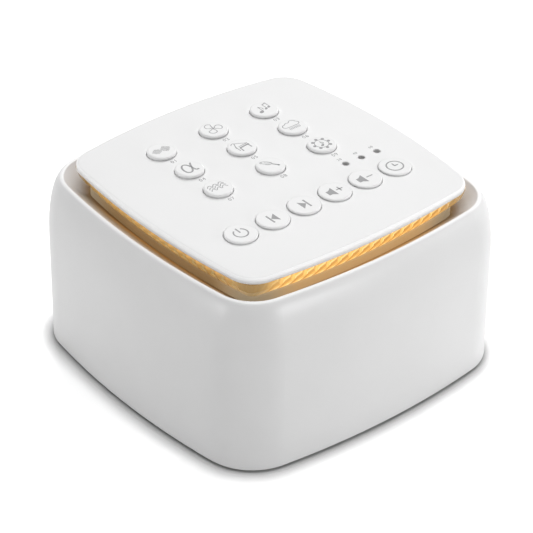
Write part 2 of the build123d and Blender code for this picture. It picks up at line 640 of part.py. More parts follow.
def ring_leds():
    """Flat lights on the strip, facing outwards into the prism ring."""
    loop = Loop(FRAME_INSET - STRIP_THICKNESS, FRAME_CORNER + STRIP_THICKNESS)
    quarter_length = loop.length() / 4
    height = STRIP_LOW + STRIP_HEIGHT / 2
    chip = Pos(LED_DEPTH / 2 + LED_GAP, 0, 0) * Box(LED_DEPTH, LED_WIDTH, LED_WIDTH)
    lights = []
    for quarter in range(4):
        for step in range(LEDS_PER_SIDE):
            along = loop.side_length() / 2 + (step - (LEDS_PER_SIDE - 1) / 2) * LED_PITCH
            point, direction = loop.spot(quarter * quarter_length + along)
            lights.append(Pos(point.X, point.Y, height) * Rot(0, 0, direction) * chip)
    return lights


def diffuser_band():
    """Smooth band with a rounded upper edge, standing in the trough at the funnel's foot."""
    section = Rectangle(BAND_THICKNESS, BAND_HEIGHT, align=Align.MIN)
    section = Pos(0, DECK_HEIGHT) * section
    section = fillet(section.vertices().sort_by(Axis.Y)[-2:].sort_by(Axis.X)[0], BAND_ROUND)
    return Loop(BAND_INSET, BAND_CORNER).ring(section)


def belt_row(shift, height, reach, depth, rib):
    """Points round the belt at one height: ridges and valleys on each side, then a plain corner."""
    loop = Loop(BELT_INSET, BELT_CORNER)
    side_length, quarter_length = loop.side_length(), loop.length() / 4
    pitch = side_length / (PRISMS_PER_SIDE + PRISM_HOOK)
    first = (PRISM_HOOK - PRISM_SLANT + shift) * pitch
    stations = [(first + step * pitch / 2, -depth * (step % 2)) for step in range(2 * PRISMS_PER_SIDE + 1)]
    for step in range(1, CORNER_STEPS):
        along = side_length + step / CORNER_STEPS * (quarter_length - side_length)
        stations.append((along, rib if abs(step - CORNER_STEPS / 2) <= 1 else 0))
    points = []
    for quarter in range(4):
        for distance, proud in stations:
            point, direction = loop.spot(quarter * quarter_length + distance)
            points.append(point + Vector(reach + proud, 0, height).rotate(Axis.Z, direction))
    return points


def prism_belt():
    """Closed belt of tall prisms: each ridge leans out to an elbow and hooks back to the top edge."""
    rows = [
        belt_row(0, BELT_LOW, 0, 0, 0),
        belt_row(PRISM_SLANT, BELT_LOW + ELBOW_HEIGHT, ELBOW_REACH, PRISM_DEPTH, CORNER_RIB),
        belt_row(PRISM_SLANT - PRISM_HOOK, PRISM_TOP, BELT_REACH, PRISM_DEPTH, CORNER_RIB),
    ]
    faces = [Face(Wire.make_polygon(rows[0])), Face(Wire.make_polygon(rows[-1]))]
    for lower, upper in zip(rows, rows[1:]):
        for index, corner in enumerate(lower):
            after = (index + 1) % len(lower)
            faces.append(Face(Wire.make_polygon([corner, lower[after], upper[after]])))
            faces.append(Face(Wire.make_polygon([corner, upper[after], upper[index]])))
    return Solid(Shell(faces))


def prism_ring():
    """Clear light guide: a plain wall in the trough, with the faceted belt leaning out above it."""
    corner = BAND_CORNER - BAND_THICKNESS
    outside = Loop(PRISM_INSET, corner)
    inside = Loop(PRISM_INSET + PRISM_WALL, corner)
    inside_top = Loop(PRISM_INSET + PRISM_WALL - BELT_REACH + PRISM_DEPTH, corner + BELT_REACH)
    sections = [Pos(0, 0, BELT_LOW) * inside.face(), Pos(0, 0, PRISM_TOP) * inside_top.face()]
    hollow = loft(sections, ruled=True)
    wall = outside.block(DECK_HEIGHT, BELT_LOW) - inside.block(DECK_HEIGHT, BELT_LOW)
    return prism_belt() - hollow + wall


# ---------------------------------------------------------------- speaker, firing down through the base

def speaker_basket():
    flange_top = SPEAKER_LOW + SPEAKER_FLANGE
    washer_low = WASHER_TOP - WASHER_THICKNESS
    mouth = SPEAKER_OPENING - BASKET_THICKNESS
    seat = SPIDER_RADIUS - SPIDER_SEAT
    basket = turned(
        (SPEAKER_RADIUS, SPEAKER_LOW), (SPEAKER_RADIUS, flange_top), (SPEAKER_OPENING, flange_top),
        (MAGNET_RADIUS, SPIDER_LEDGE + BASKET_THICKNESS), (MAGNET_RADIUS, WASHER_TOP),
        (WASHER_HOLE, WASHER_TOP), (WASHER_HOLE, washer_low), (seat, washer_low),
        (seat, SPIDER_LEDGE), (SPIDER_RADIUS, SPIDER_LEDGE), (mouth, flange_top), (mouth, SPEAKER_LOW),
    )
    low, high = SPEAKER_LOW + WINDOW_SILL, SPIDER_LEDGE - SPEAKER_FLANGE
    window = slab(SPEAKER_RADIUS, WINDOW_WIDTH, low, high, SPEAKER_RADIUS)
    for quarter in range(4):
        basket -= Rot(0, 0, 90 * quarter) * window
    for x, y in speaker_screw_places():
        basket -= rod(SMALL_SCREW + SCREW_CLEARANCE, SPEAKER_LOW, flange_top, x, y)
    return basket


def speaker_magnet():
    return rod(MAGNET_RADIUS, WASHER_TOP, MAGNET_TOP) - rod(MAGNET_HOLE, WASHER_TOP, MAGNET_TOP)


def speaker_yoke():
    pole = rod(POLE_RADIUS, WASHER_TOP - WASHER_THICKNESS, MAGNET_TOP)
    return pole + rod(YOKE_RADIUS, MAGNET_TOP, MAGNET_TOP + YOKE_HEIGHT)


def speaker_cone():
    """Paper cone, its mouth down and its neck glued round the coil former."""
    neck = CONE_LOW + CONE_DEPTH
    return turned(
        (CONE_RADIUS, CONE_LOW), (CONE_RADIUS, CONE_LOW + CONE_THICKNESS),
        (CONE_NECK + CONE_THICKNESS, neck), (CONE_NECK, neck), (CONE_NECK, neck - CONE_THICKNESS),
        (CONE_RADIUS - 2 * CONE_THICKNESS, CONE_LOW),
    )


def voice_coil():
    low = CONE_LOW + CONE_DEPTH - CONE_THICKNESS
    return rod(CONE_NECK, low, low + COIL_HEIGHT) - rod(COIL_RADIUS, low, low + COIL_HEIGHT)


def dust_cap():
    """Shallow dome over the coil, bulging down towards the grille."""
    high = CONE_LOW + CONE_DEPTH - CONE_THICKNESS
    low = high - CAP_HEIGHT
    radius = (CONE_NECK ** 2 + CAP_HEIGHT ** 2) / (2 * CAP_HEIGHT)
    skin = Sphere(radius) - Sphere(radius - CONE_THICKNESS)
    return Pos(0, 0, low + radius) * skin & rod(CONE_NECK, low, high)


def speaker_surround():
    """Half roll of rubber from the cone's edge to the basket."""
    roll = SURROUND_WIDTH / 2
    upper_half = Pos(0, roll) * Rectangle(2 * roll, 2 * roll)
    section = Circle(roll) - Circle(roll - SURROUND_THICKNESS) - upper_half
    return revolve(Plane.XZ * Pos(CONE_RADIUS + roll, CONE_LOW) * section, Axis.Z)


def speaker_spider():
    """Corrugated disc from the basket's ledge in to the coil."""
    seat = SPIDER_RADIUS - SPIDER_SEAT
    step = (seat - CONE_NECK) / (2 * SPIDER_WAVES)
    upper = [(SPIDER_RADIUS, SPIDER_LEDGE)]
    for turn in range(2 * SPIDER_WAVES + 1):
        upper.append((seat - turn * step, SPIDER_LEDGE - SPIDER_WAVE_DEPTH * (turn % 2)))
    lower = [(radius, height - SURROUND_THICKNESS) for radius, height in reversed(upper)]
    return turned(*upper, *lower)


# ---------------------------------------------------------------- main board and its sockets

def main_board():
    middle = MAIN_BOARD_BACK - MAIN_BOARD_DEPTH / 2
    board = slab(MAIN_BOARD_WIDTH, MAIN_BOARD_DEPTH, MAIN_BOARD_LOW, MAIN_BOARD_TOP, 0, middle)
    for x, y in main_board_screw_places():
        board -= rod(SMALL_SCREW + SCREW_CLEARANCE, MAIN_BOARD_LOW, MAIN_BOARD_TOP, x, y)
    return board


def headphone_jack():
    """Socket with a round nose in the rear wall and a blind bore for the plug."""
    face = rear_wall(JACK_X) - SOCKET_RECESS
    back = MAIN_BOARD_BACK + JACK_OVERHANG
    height = MAIN_BOARD_TOP + JACK_HEIGHT / 2
    top = MAIN_BOARD_TOP + JACK_HEIGHT
    body = slab(JACK_WIDTH, JACK_LENGTH, MAIN_BOARD_TOP, top, JACK_X, back - JACK_LENGTH / 2)
    nose = Rot(90, 0, 0) * Cylinder(JACK_NOSE_RADIUS, face - back)
    bore = Rot(90, 0, 0) * Cylinder(JACK_BORE, JACK_BORE_LENGTH)
    body += Pos(JACK_X, (face + back) / 2, height) * nose
    return body - Pos(JACK_X, face - JACK_BORE_LENGTH / 2, height) * bore


def power_inlet():
    """Metal-skinned socket for a low-voltage lead, with the contact tongue inside."""
    face = rear_wall(INLET_X) - SOCKET_RECESS
    skin = SlotOverall(INLET_WIDTH, INLET_HEIGHT)
    hollow = SlotOverall(INLET_WIDTH - 2 * INLET_SKIN, INLET_HEIGHT - 2 * INLET_SKIN)
    shell = extrude(skin, INLET_LENGTH) - extrude(hollow, INLET_LENGTH - INLET_SKIN)
    tongue = extrude(Rectangle(INLET_TONGUE_WIDTH, INLET_TONGUE), INLET_LENGTH - INLET_TONGUE)
    tongue = Pos(0, 0, INLET_TONGUE) * tongue
    return Pos(INLET_X, face, MAIN_BOARD_TOP + INLET_HEIGHT / 2) * Rot(90, 0, 0) * (shell + tongue)


def card_socket():
    """Flat socket, closed at the back, for a memory card."""
    face = rear_wall(CARD_X) - SOCKET_RECESS
    middle = face - CARD_LENGTH / 2
    body = slab(CARD_WIDTH, CARD_LENGTH, MAIN_BOARD_TOP, MAIN_BOARD_TOP + CARD_HEIGHT, CARD_X, middle)
    slot_low = MAIN_BOARD_TOP + (CARD_HEIGHT - CARD_SLOT_HEIGHT) / 2
    slot_high = slot_low + CARD_SLOT_HEIGHT
    return body - slab(CARD_SLOT_WIDTH, CARD_LENGTH, slot_low, slot_high, CARD_X, middle + CARD_BACK_WALL)


# ---------------------------------------------------------------- screws and wiring

def small_screws():
    on_key_board = [(x, y, KEY_BOARD_TOP) for x, y in key_board_screw_places()]
    on_main_board = [(x, y, MAIN_BOARD_TOP) for x, y in main_board_screw_places()]
    on_speaker = [(x, y, SPEAKER_LOW + SPEAKER_FLANGE) for x, y in speaker_screw_places()]
    return [
        screw(x, y, SMALL_SCREW, SMALL_SCREW_HEAD, SMALL_SCREW_LENGTH, SMALL_HEAD_HEIGHT, seat, up=False)
        for x, y, seat in on_key_board + on_main_board + on_speaker
    ]


def swept(points, section):
    """Sweep a section along straight runs with rounded turns."""
    radii = []
    for before, point, after in zip(points, points[1:], points[2:]):
        first, second = point - before, after - point
        room = TURN_SHARE * min(first.length, second.length)
        radii.append(room / tan(radians(first.get_angle(second) / 2)))
    path = FilletPolyline(*points, radius=radii)
    return sweep(Plane(origin=points[0], z_dir=points[1] - points[0], x_dir=(1, 0, 0)) * section, path)


def ribbon_cable():
    """Flat ribbon from the key board down past the speaker to the main board."""
    landing = MAIN_BOARD_FRONT + WIRE_LANDING
    points = [
        Vector(0, RIBBON_Y, KEY_BOARD_LOW), Vector(0, RIBBON_Y, MAIN_BOARD_TOP + RIBBON_BEND),
        Vector(0, landing, MAIN_BOARD_TOP + RIBBON_DROP), Vector(0, landing, MAIN_BOARD_TOP),
    ]
    return swept(points, Rectangle(RIBBON_WIDTH, RIBBON_THICKNESS))


def speaker_leads():
    """Two thin wires from the basket's flange over to the main board."""
    start_y = sqrt(((SPEAKER_RADIUS + SPEAKER_OPENING) / 2) ** 2 - LEAD_X ** 2)
    landing = MAIN_BOARD_FRONT + WIRE_LANDING
    high = MAIN_BOARD_TOP + LEAD_ARCH
    leads = []
    for x in (LEAD_X - LEAD_PITCH / 2, LEAD_X + LEAD_PITCH / 2):
        points = [
            Vector(x, start_y, SPEAKER_LOW + SPEAKER_FLANGE), Vector(x, start_y, high),
            Vector(x, landing, high), Vector(x, landing, MAIN_BOARD_TOP),
        ]
        leads.append(swept(points, Circle(LEAD_RADIUS)))
    return leads


def pieces():
    """Every piece of the machine by name."""
    made = {
        "outer_shell": outer_shell(), "base_cover": base_cover(), "rubber_feet": rubber_feet(),
        "base_screws": base_screws(), "top_plate": top_plate(), "plate_screws": plate_screws(),
        "inner_frame": inner_frame(), "light_strip": light_strip(), "ring_leds": ring_leds(),
        "diffuser_band": diffuser_band(), "prism_ring": prism_ring(), "key_board": key_board(),
        "switch_bases": switch_bases(), "indicator_leds": indicator_leds(),
        "indicator_pipes": indicator_pipes(), "main_board": main_board(), "small_screws": small_screws(),
        "headphone_jack": headphone_jack(), "power_inlet": power_inlet(), "card_socket": card_socket(),
        "speaker_basket": speaker_basket(), "speaker_magnet": speaker_magnet(),
        "speaker_yoke": speaker_yoke(), "speaker_cone": speaker_cone(), "voice_coil": voice_coil(),
        "dust_cap": dust_cap(), "speaker_surround": speaker_surround(),
        "speaker_spider": speaker_spider(), "ribbon_cable": ribbon_cable(),
        "speaker_leads": speaker_leads(),
    }
    for name, x, y, radius, raise_height in key_places():
        made[name] = key_cap(x, y, radius, raise_height)
        made[name.replace("key_", "stem_")] = switch_stem(x, y)
    return made


def main():
    os.makedirs("parts", exist_ok=True)
    for name, shape in pieces().items():
        if isinstance(shape, list):
            shape = Compound(children=shape)
        export_step(shape, f"parts/{name}.step")


main()
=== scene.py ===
"""White noise sound machine: finishes, printed keys, ring light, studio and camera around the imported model.

Every length in a class is in millimetres, and metres() turns it into Blender's own unit.
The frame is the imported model's: the base's middle is the origin, +Z is up and -Y is the front.
"""
import logging
import math
from dataclasses import dataclass
from enum import Enum
from typing import Any

import bpy
from mathutils import Matrix, Quaternion, Vector


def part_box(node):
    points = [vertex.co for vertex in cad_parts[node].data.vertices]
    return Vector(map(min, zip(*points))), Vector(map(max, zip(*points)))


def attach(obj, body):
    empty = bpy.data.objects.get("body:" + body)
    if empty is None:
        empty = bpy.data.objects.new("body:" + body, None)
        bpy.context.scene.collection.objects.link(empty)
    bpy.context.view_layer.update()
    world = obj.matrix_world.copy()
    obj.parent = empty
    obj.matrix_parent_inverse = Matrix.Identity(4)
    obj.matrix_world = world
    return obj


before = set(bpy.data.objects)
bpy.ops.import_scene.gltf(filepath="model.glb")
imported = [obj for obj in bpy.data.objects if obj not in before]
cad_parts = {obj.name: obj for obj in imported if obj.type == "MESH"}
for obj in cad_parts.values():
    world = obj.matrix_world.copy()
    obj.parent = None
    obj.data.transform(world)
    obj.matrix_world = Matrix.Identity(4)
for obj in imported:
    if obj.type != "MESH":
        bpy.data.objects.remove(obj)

LOG = logging.getLogger("sound_machine")
HOUSING_BODY = "housing"
MM_PER_METRE = 1000
WHITE = (1.0, 1.0, 1.0, 1.0)
Point = tuple[float, float]
Tree, Node, Socket = bpy.types.NodeTree, bpy.types.Node, bpy.types.NodeSocket
Piece, Material = bpy.types.Object, bpy.types.Material

# Settings that several nodes share. A Mix node mixes its inputs 6 and 7 as colours, and 2 and 3 as amounts.
COLOURS = {"data_type": "RGBA"}
AMOUNTS = {"data_type": "FLOAT"}
SMOOTH = {"interpolation_type": "SMOOTHSTEP"}


# ---------------------------------------------------------------- units, colours and nodes

def metres(*lengths: float) -> Any:
    """Turn millimetres into metres.

    Args:
        lengths: One length, or the parts of a place.

    Returns:
        One number for one length, and a tuple for several.
    """
    turned = tuple(length / MM_PER_METRE for length in lengths)
    return turned[0] if len(turned) == 1 else turned


def middle_of(node: str) -> Point:
    """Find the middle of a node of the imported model, seen from above.

    Args:
        node: The node's name.

    Returns:
        The place, to the right and to the back, in millimetres.
    """
    low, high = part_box(node)
    return (low.x + high.x) / 2 * MM_PER_METRE, (low.y + high.y) / 2 * MM_PER_METRE


def linear(colour: str) -> tuple[float, float, float, float]:
    """Turn an sRGB hex colour into the linear values that shaders use.

    Args:
        colour: Six hex digits, such as "F2F2F2".

    Returns:
        Red, green, blue and an alpha of 1.
    """
    shares = [int(colour[start:start + 2], 16) / 255 for start in (0, 2, 4)]
    values = [share / 12.92 if share <= 0.04045 else ((share + 0.055) / 1.055) ** 2.4 for share in shares]
    return (*values, 1.0)


def add_node(tree: Tree, kind: str, settings: dict[str, Any] | str | None = None,
             inputs: dict[Any, Any] | None = None) -> Node:
    """Add a node, with its settings and its inputs.

    Args:
        tree: The node tree that takes it.
        kind: Blender's name of the node's type, after "ShaderNode".
        settings: Properties of the node by name, or only a maths node's operation.
        inputs: By the input's name or number, a value, a socket to link, or a node whose first output is linked.

    Returns:
        The new node.
    """
    node = tree.nodes.new(f"ShaderNode{kind}")
    if isinstance(settings, str):
        settings = {"operation": settings}
    for name, value in (settings or {}).items():
        setattr(node, name, value)
    for name, value in (inputs or {}).items():
        if isinstance(value, Node):
            value = next(output for output in value.outputs if output.enabled)
        if isinstance(value, Socket):
            tree.links.new(value, node.inputs[name])
        else:
            node.inputs[name].default_value = value
    return node


def object_place(tree: Tree) -> Node:
    """Add a point's place in the frame.

    Args:
        tree: The node tree that takes the nodes.

    Returns:
        A node with the outputs X, Y and Z.
    """
    place = add_node(tree, "TexCoord")
    return add_node(tree, "SeparateXYZ", None, {"Vector": place.outputs["Object"]})


def object_noise(tree: Tree, size_mm: float, detail: float = 2.0) -> Node:
    """Add a noise texture on Object coordinates.

    Args:
        tree: The node tree that takes it.
        size_mm: The size of its blotches or grains.
        detail: How many finer layers it has.

    Returns:
        The noise node.
    """
    place = add_node(tree, "TexCoord")
    return add_node(tree, "TexNoise", None, {
        "Vector": place.outputs["Object"], "Scale": 1 / metres(size_mm), "Detail": detail,
    })


def two_tones(tree: Tree, size_mm: float, first: str, second: str) -> Node:
    """Mix two colours in soft blotches.

    Args:
        tree: The node tree that takes the nodes.
        size_mm: The blotches' size.
        first: One colour in hex.
        second: The other.

    Returns:
        The mixing node.
    """
    return add_node(tree, "Mix", COLOURS, {"Factor": object_noise(tree, size_mm), 6: linear(first), 7: linear(second)})


def seen_directly(tree: Tree) -> Node:
    """Tell what the camera, a gloss or clear plastic shows from what only sheds light.

    Args:
        tree: The node tree that takes the nodes.

    Returns:
        A node that gives 1 for such rays and 0 for all others.
    """
    ray = add_node(tree, "LightPath")
    mirrored = add_node(tree, "Math", "MAXIMUM", {
        0: ray.outputs["Is Glossy Ray"], 1: ray.outputs["Is Transmission Ray"],
    })
    return add_node(tree, "Math", "MAXIMUM", {0: ray.outputs["Is Camera Ray"], 1: mirrored})


def spilled(tree: Tree, strength: Node, share: float) -> Node:
    """Let a surface glow fully where it is seen, and shed less light than that on the pieces around it.

    Args:
        tree: The node tree that takes the nodes.
        strength: How strongly it glows.
        share: The part of that which it sheds.

    Returns:
        A node that gives the strength for each ray.
    """
    part = add_node(tree, "MapRange", None, {"Value": seen_directly(tree), "To Min": share, "To Max": 1.0})
    return add_node(tree, "Math", "MULTIPLY", {0: strength, 1: part})


def round_the_ring(tree: Tree, straight_mm: float, end_mm: float) -> tuple[Node, Node]:
    """Tell where on the ring a point is.

    Args:
        tree: The node tree that takes the nodes.
        straight_mm: Where the corners start, from the middle of a side.
        end_mm: Where they are full.

    Returns:
        A node that gives 1 at the corners and 0 along the sides, and one that gives 1 at the front.
    """
    spot = object_place(tree)
    reach = [add_node(tree, "Math", "ABSOLUTE", {0: spot.outputs[axis]}) for axis in "XY"]
    along = add_node(tree, "Math", "MINIMUM", {0: reach[0], 1: reach[1]})
    start, end = metres(straight_mm, end_mm)
    cornered = add_node(tree, "MapRange", SMOOTH, {"Value": along, "From Min": start, "From Max": end})
    front = add_node(tree, "MapRange", SMOOTH, {"Value": spot.outputs["Y"], "From Min": -start, "From Max": -end})
    return cornered, front


# ---------------------------------------------------------------- finishes

@dataclass(frozen=True)
class Finish:
    """What all finishes have: a name, and a material that is made from their shader."""

    name: str

    def build(self) -> Material:
        """Make the material.

        Returns:
            The material.
        """
        material = bpy.data.materials.new(self.name)
        material.use_nodes = True
        material.node_tree.nodes.clear()
        add_node(material.node_tree, "OutputMaterial", None, {"Surface": self.shader(material.node_tree)})
        return material

    def shader(self, tree: Tree) -> Node:
        """Add the shader, which each finish does in its own way.

        Args:
            tree: The material's node tree.

        Returns:
            The shader node.
        """
        raise NotImplementedError


@dataclass(frozen=True)
class MouldedPlastic(Finish):
    """Injection-moulded ABS or a like plastic: a soft sheen, an eroded texture and a faint change of tone, with painted
    highlights and painted ring light and shade where a finish sets them.
    """

    colour: str
    tone: str               # the slightly different tone of its broad mottling
    roughness: float
    grain_mm: float         # spacing of the eroded texture
    grain_depth_mm: float
    mottle_mm: float = 18.0
    uneven: float = 0.05    # how far its roughness strays
    ior: float = 1.54
    edge_mm: float = 0.0    # how far its edges look softened
    glow: float = 0.0       # strength of the painted highlight, given off as light, on its crest or edges
    painted_highlight_mm: Point = (0.0, 0.0)     # the heights between which that sets in, lowest first
    painted_highlight_level: Point = (0.985, 0.8)    # how level a surface is where the painted highlight is none, and where it is full
    painted_highlight_reach_mm: float = 0.0      # from the middle to where it starts
    crown_radius: float = 1e9       # of the crowned surface from which the heights are taken
    painted_ring_light: str = ""         # painted warm light and shade from the ring, multiplied over the inward slope's foot
    painted_ring_light_mm: Point = (0.0, 0.0)    # the heights between which it fades, the full one first
    painted_ring_light_lean: Point = (-0.05, -0.25)  # how far a surface faces outwards where it has none, and where it is full
    painted_ring_light_floor_mm: float = 45.0    # nothing below that height gets that painted light and shade

    def shader(self, tree: Tree) -> Node:
        """Add plastic with its grain, its softened edges, a painted highlight on its crest or edges and painted ring
        light and shade on its inward slope.

        Args:
            tree: The material's node tree.

        Returns:
            The shader node.
        """
        colour = two_tones(tree, self.mottle_mm, self.colour, self.tone)
        # Painted warm light and shade from the ring: the foot of the inward slope is multiplied by a tan tone.
        if self.painted_ring_light:
            colour = add_node(tree, "Mix", COLOURS | {"blend_type": "MULTIPLY"}, {
                "Factor": self.painted_ring_light_share(tree), 6: colour, 7: linear(self.painted_ring_light),
            })
        grain = object_noise(tree, self.grain_mm, 3.0)
        sheen = add_node(tree, "MapRange", None, {
            "Value": grain, "To Min": self.roughness - self.uneven, "To Max": self.roughness + self.uneven,
        })
        relief = {"Height": grain, "Strength": 0.5, "Distance": metres(self.grain_depth_mm)}
        if self.edge_mm:
            relief["Normal"] = add_node(tree, "Bevel", {"samples": 8}, {"Radius": metres(self.edge_mm)})
        surface = {
            "Base Color": colour, "Roughness": sheen, "IOR": self.ior, "Normal": add_node(tree, "Bump", None, relief),
        }
        # Painted highlight: white light given off along the crest or upper edges, seen directly only.
        if self.glow:
            surface |= {"Emission Color": WHITE, "Emission Strength": spilled(tree, self.painted_highlight(tree), 0.0)}
        return add_node(tree, "BsdfPrincipled", None, surface)

    def painted_highlight(self, tree: Tree) -> Node:
        """Find where the painted highlight falls, setting in with the height over the crown.

        Args:
            tree: The material's node tree.

        Returns:
            A node that gives how strong the painted highlight is.
        """
        spot, shape = object_place(tree), add_node(tree, "NewGeometry")
        flat = add_node(tree, "CombineXYZ", None, {"X": spot.outputs["X"], "Y": spot.outputs["Y"]})
        square = add_node(tree, "VectorMath", "DOT_PRODUCT", {0: flat, 1: flat})
        height = add_node(tree, "Math", "MULTIPLY_ADD", {
            0: square, 1: 1 / (2 * metres(self.crown_radius)), 2: spot.outputs["Z"],
        })
        facing = add_node(tree, "SeparateXYZ", None, {"Vector": shape.outputs["Normal"]})
        level = add_node(tree, "Math", "ABSOLUTE", {0: facing.outputs["Z"]})
        share = add_node(tree, "MapRange", None, {
            "Value": level, "From Min": self.painted_highlight_level[0], "From Max": self.painted_highlight_level[1], "To Max": self.glow,
        })
        low, high = metres(*self.painted_highlight_mm)
        reached = add_node(tree, "MapRange", SMOOTH, {
            "Value": height, "From Min": low, "From Max": high, "To Max": share,
        })
        outer = add_node(tree, "Math", "GREATER_THAN", {0: square, 1: metres(self.painted_highlight_reach_mm) ** 2})
        return add_node(tree, "Math", "MULTIPLY", {0: reached, 1: outer})

    def painted_ring_light_share(self, tree: Tree) -> Node:
        """Find the foot of the slope that faces inwards.

        Args:
            tree: The material's node tree.

        Returns:
            A node that gives how much of the painted ring light and shade a point has.
        """
        spot, shape = object_place(tree), add_node(tree, "NewGeometry")
        flat = add_node(tree, "CombineXYZ", None, {"X": spot.outputs["X"], "Y": spot.outputs["Y"]})
        outwards = add_node(tree, "VectorMath", "NORMALIZE", {0: flat})
        facing = add_node(tree, "VectorMath", "DOT_PRODUCT", {0: outwards, 1: shape.outputs["Normal"]})
        inner = add_node(tree, "MapRange", None, {
            "Value": facing, "From Min": self.painted_ring_light_lean[0], "From Max": self.painted_ring_light_lean[1],
        })
        full, none = metres(*self.painted_ring_light_mm)
        depth = add_node(tree, "MapRange", SMOOTH, {
            "Value": spot.outputs["Z"], "From Min": none, "From Max": full, "To Max": inner,
        })
        above = add_node(tree, "Math", "GREATER_THAN", {0: spot.outputs["Z"], 1: metres(self.painted_ring_light_floor_mm)})
        return add_node(tree, "Math", "MULTIPLY", {0: depth, 1: above})


@dataclass(frozen=True)
class PlatedSteel(Finish):
    """Zinc-plated or nickel-plated steel: a metal with fine turning or rolling marks."""

    colour: str
    roughness: float
    mark_mm: float = 0.25
    uneven: float = 0.08    # how far its roughness strays

    def shader(self, tree: Tree) -> Node:
        """Add a metal whose marks change its roughness.

        Args:
            tree: The material's node tree.

        Returns:
            The shader node.
        """
        sheen = add_node(tree, "MapRange", None, {
            "Value": object_noise(tree, self.mark_mm, 4.0),
            "To Min": self.roughness - self.uneven, "To Max": self.roughness + self.uneven,
        })
        return add_node(tree, "BsdfPrincipled", None, {
            "Base Color": linear(self.colour), "Metallic": 1.0, "Roughness": sheen,
        })


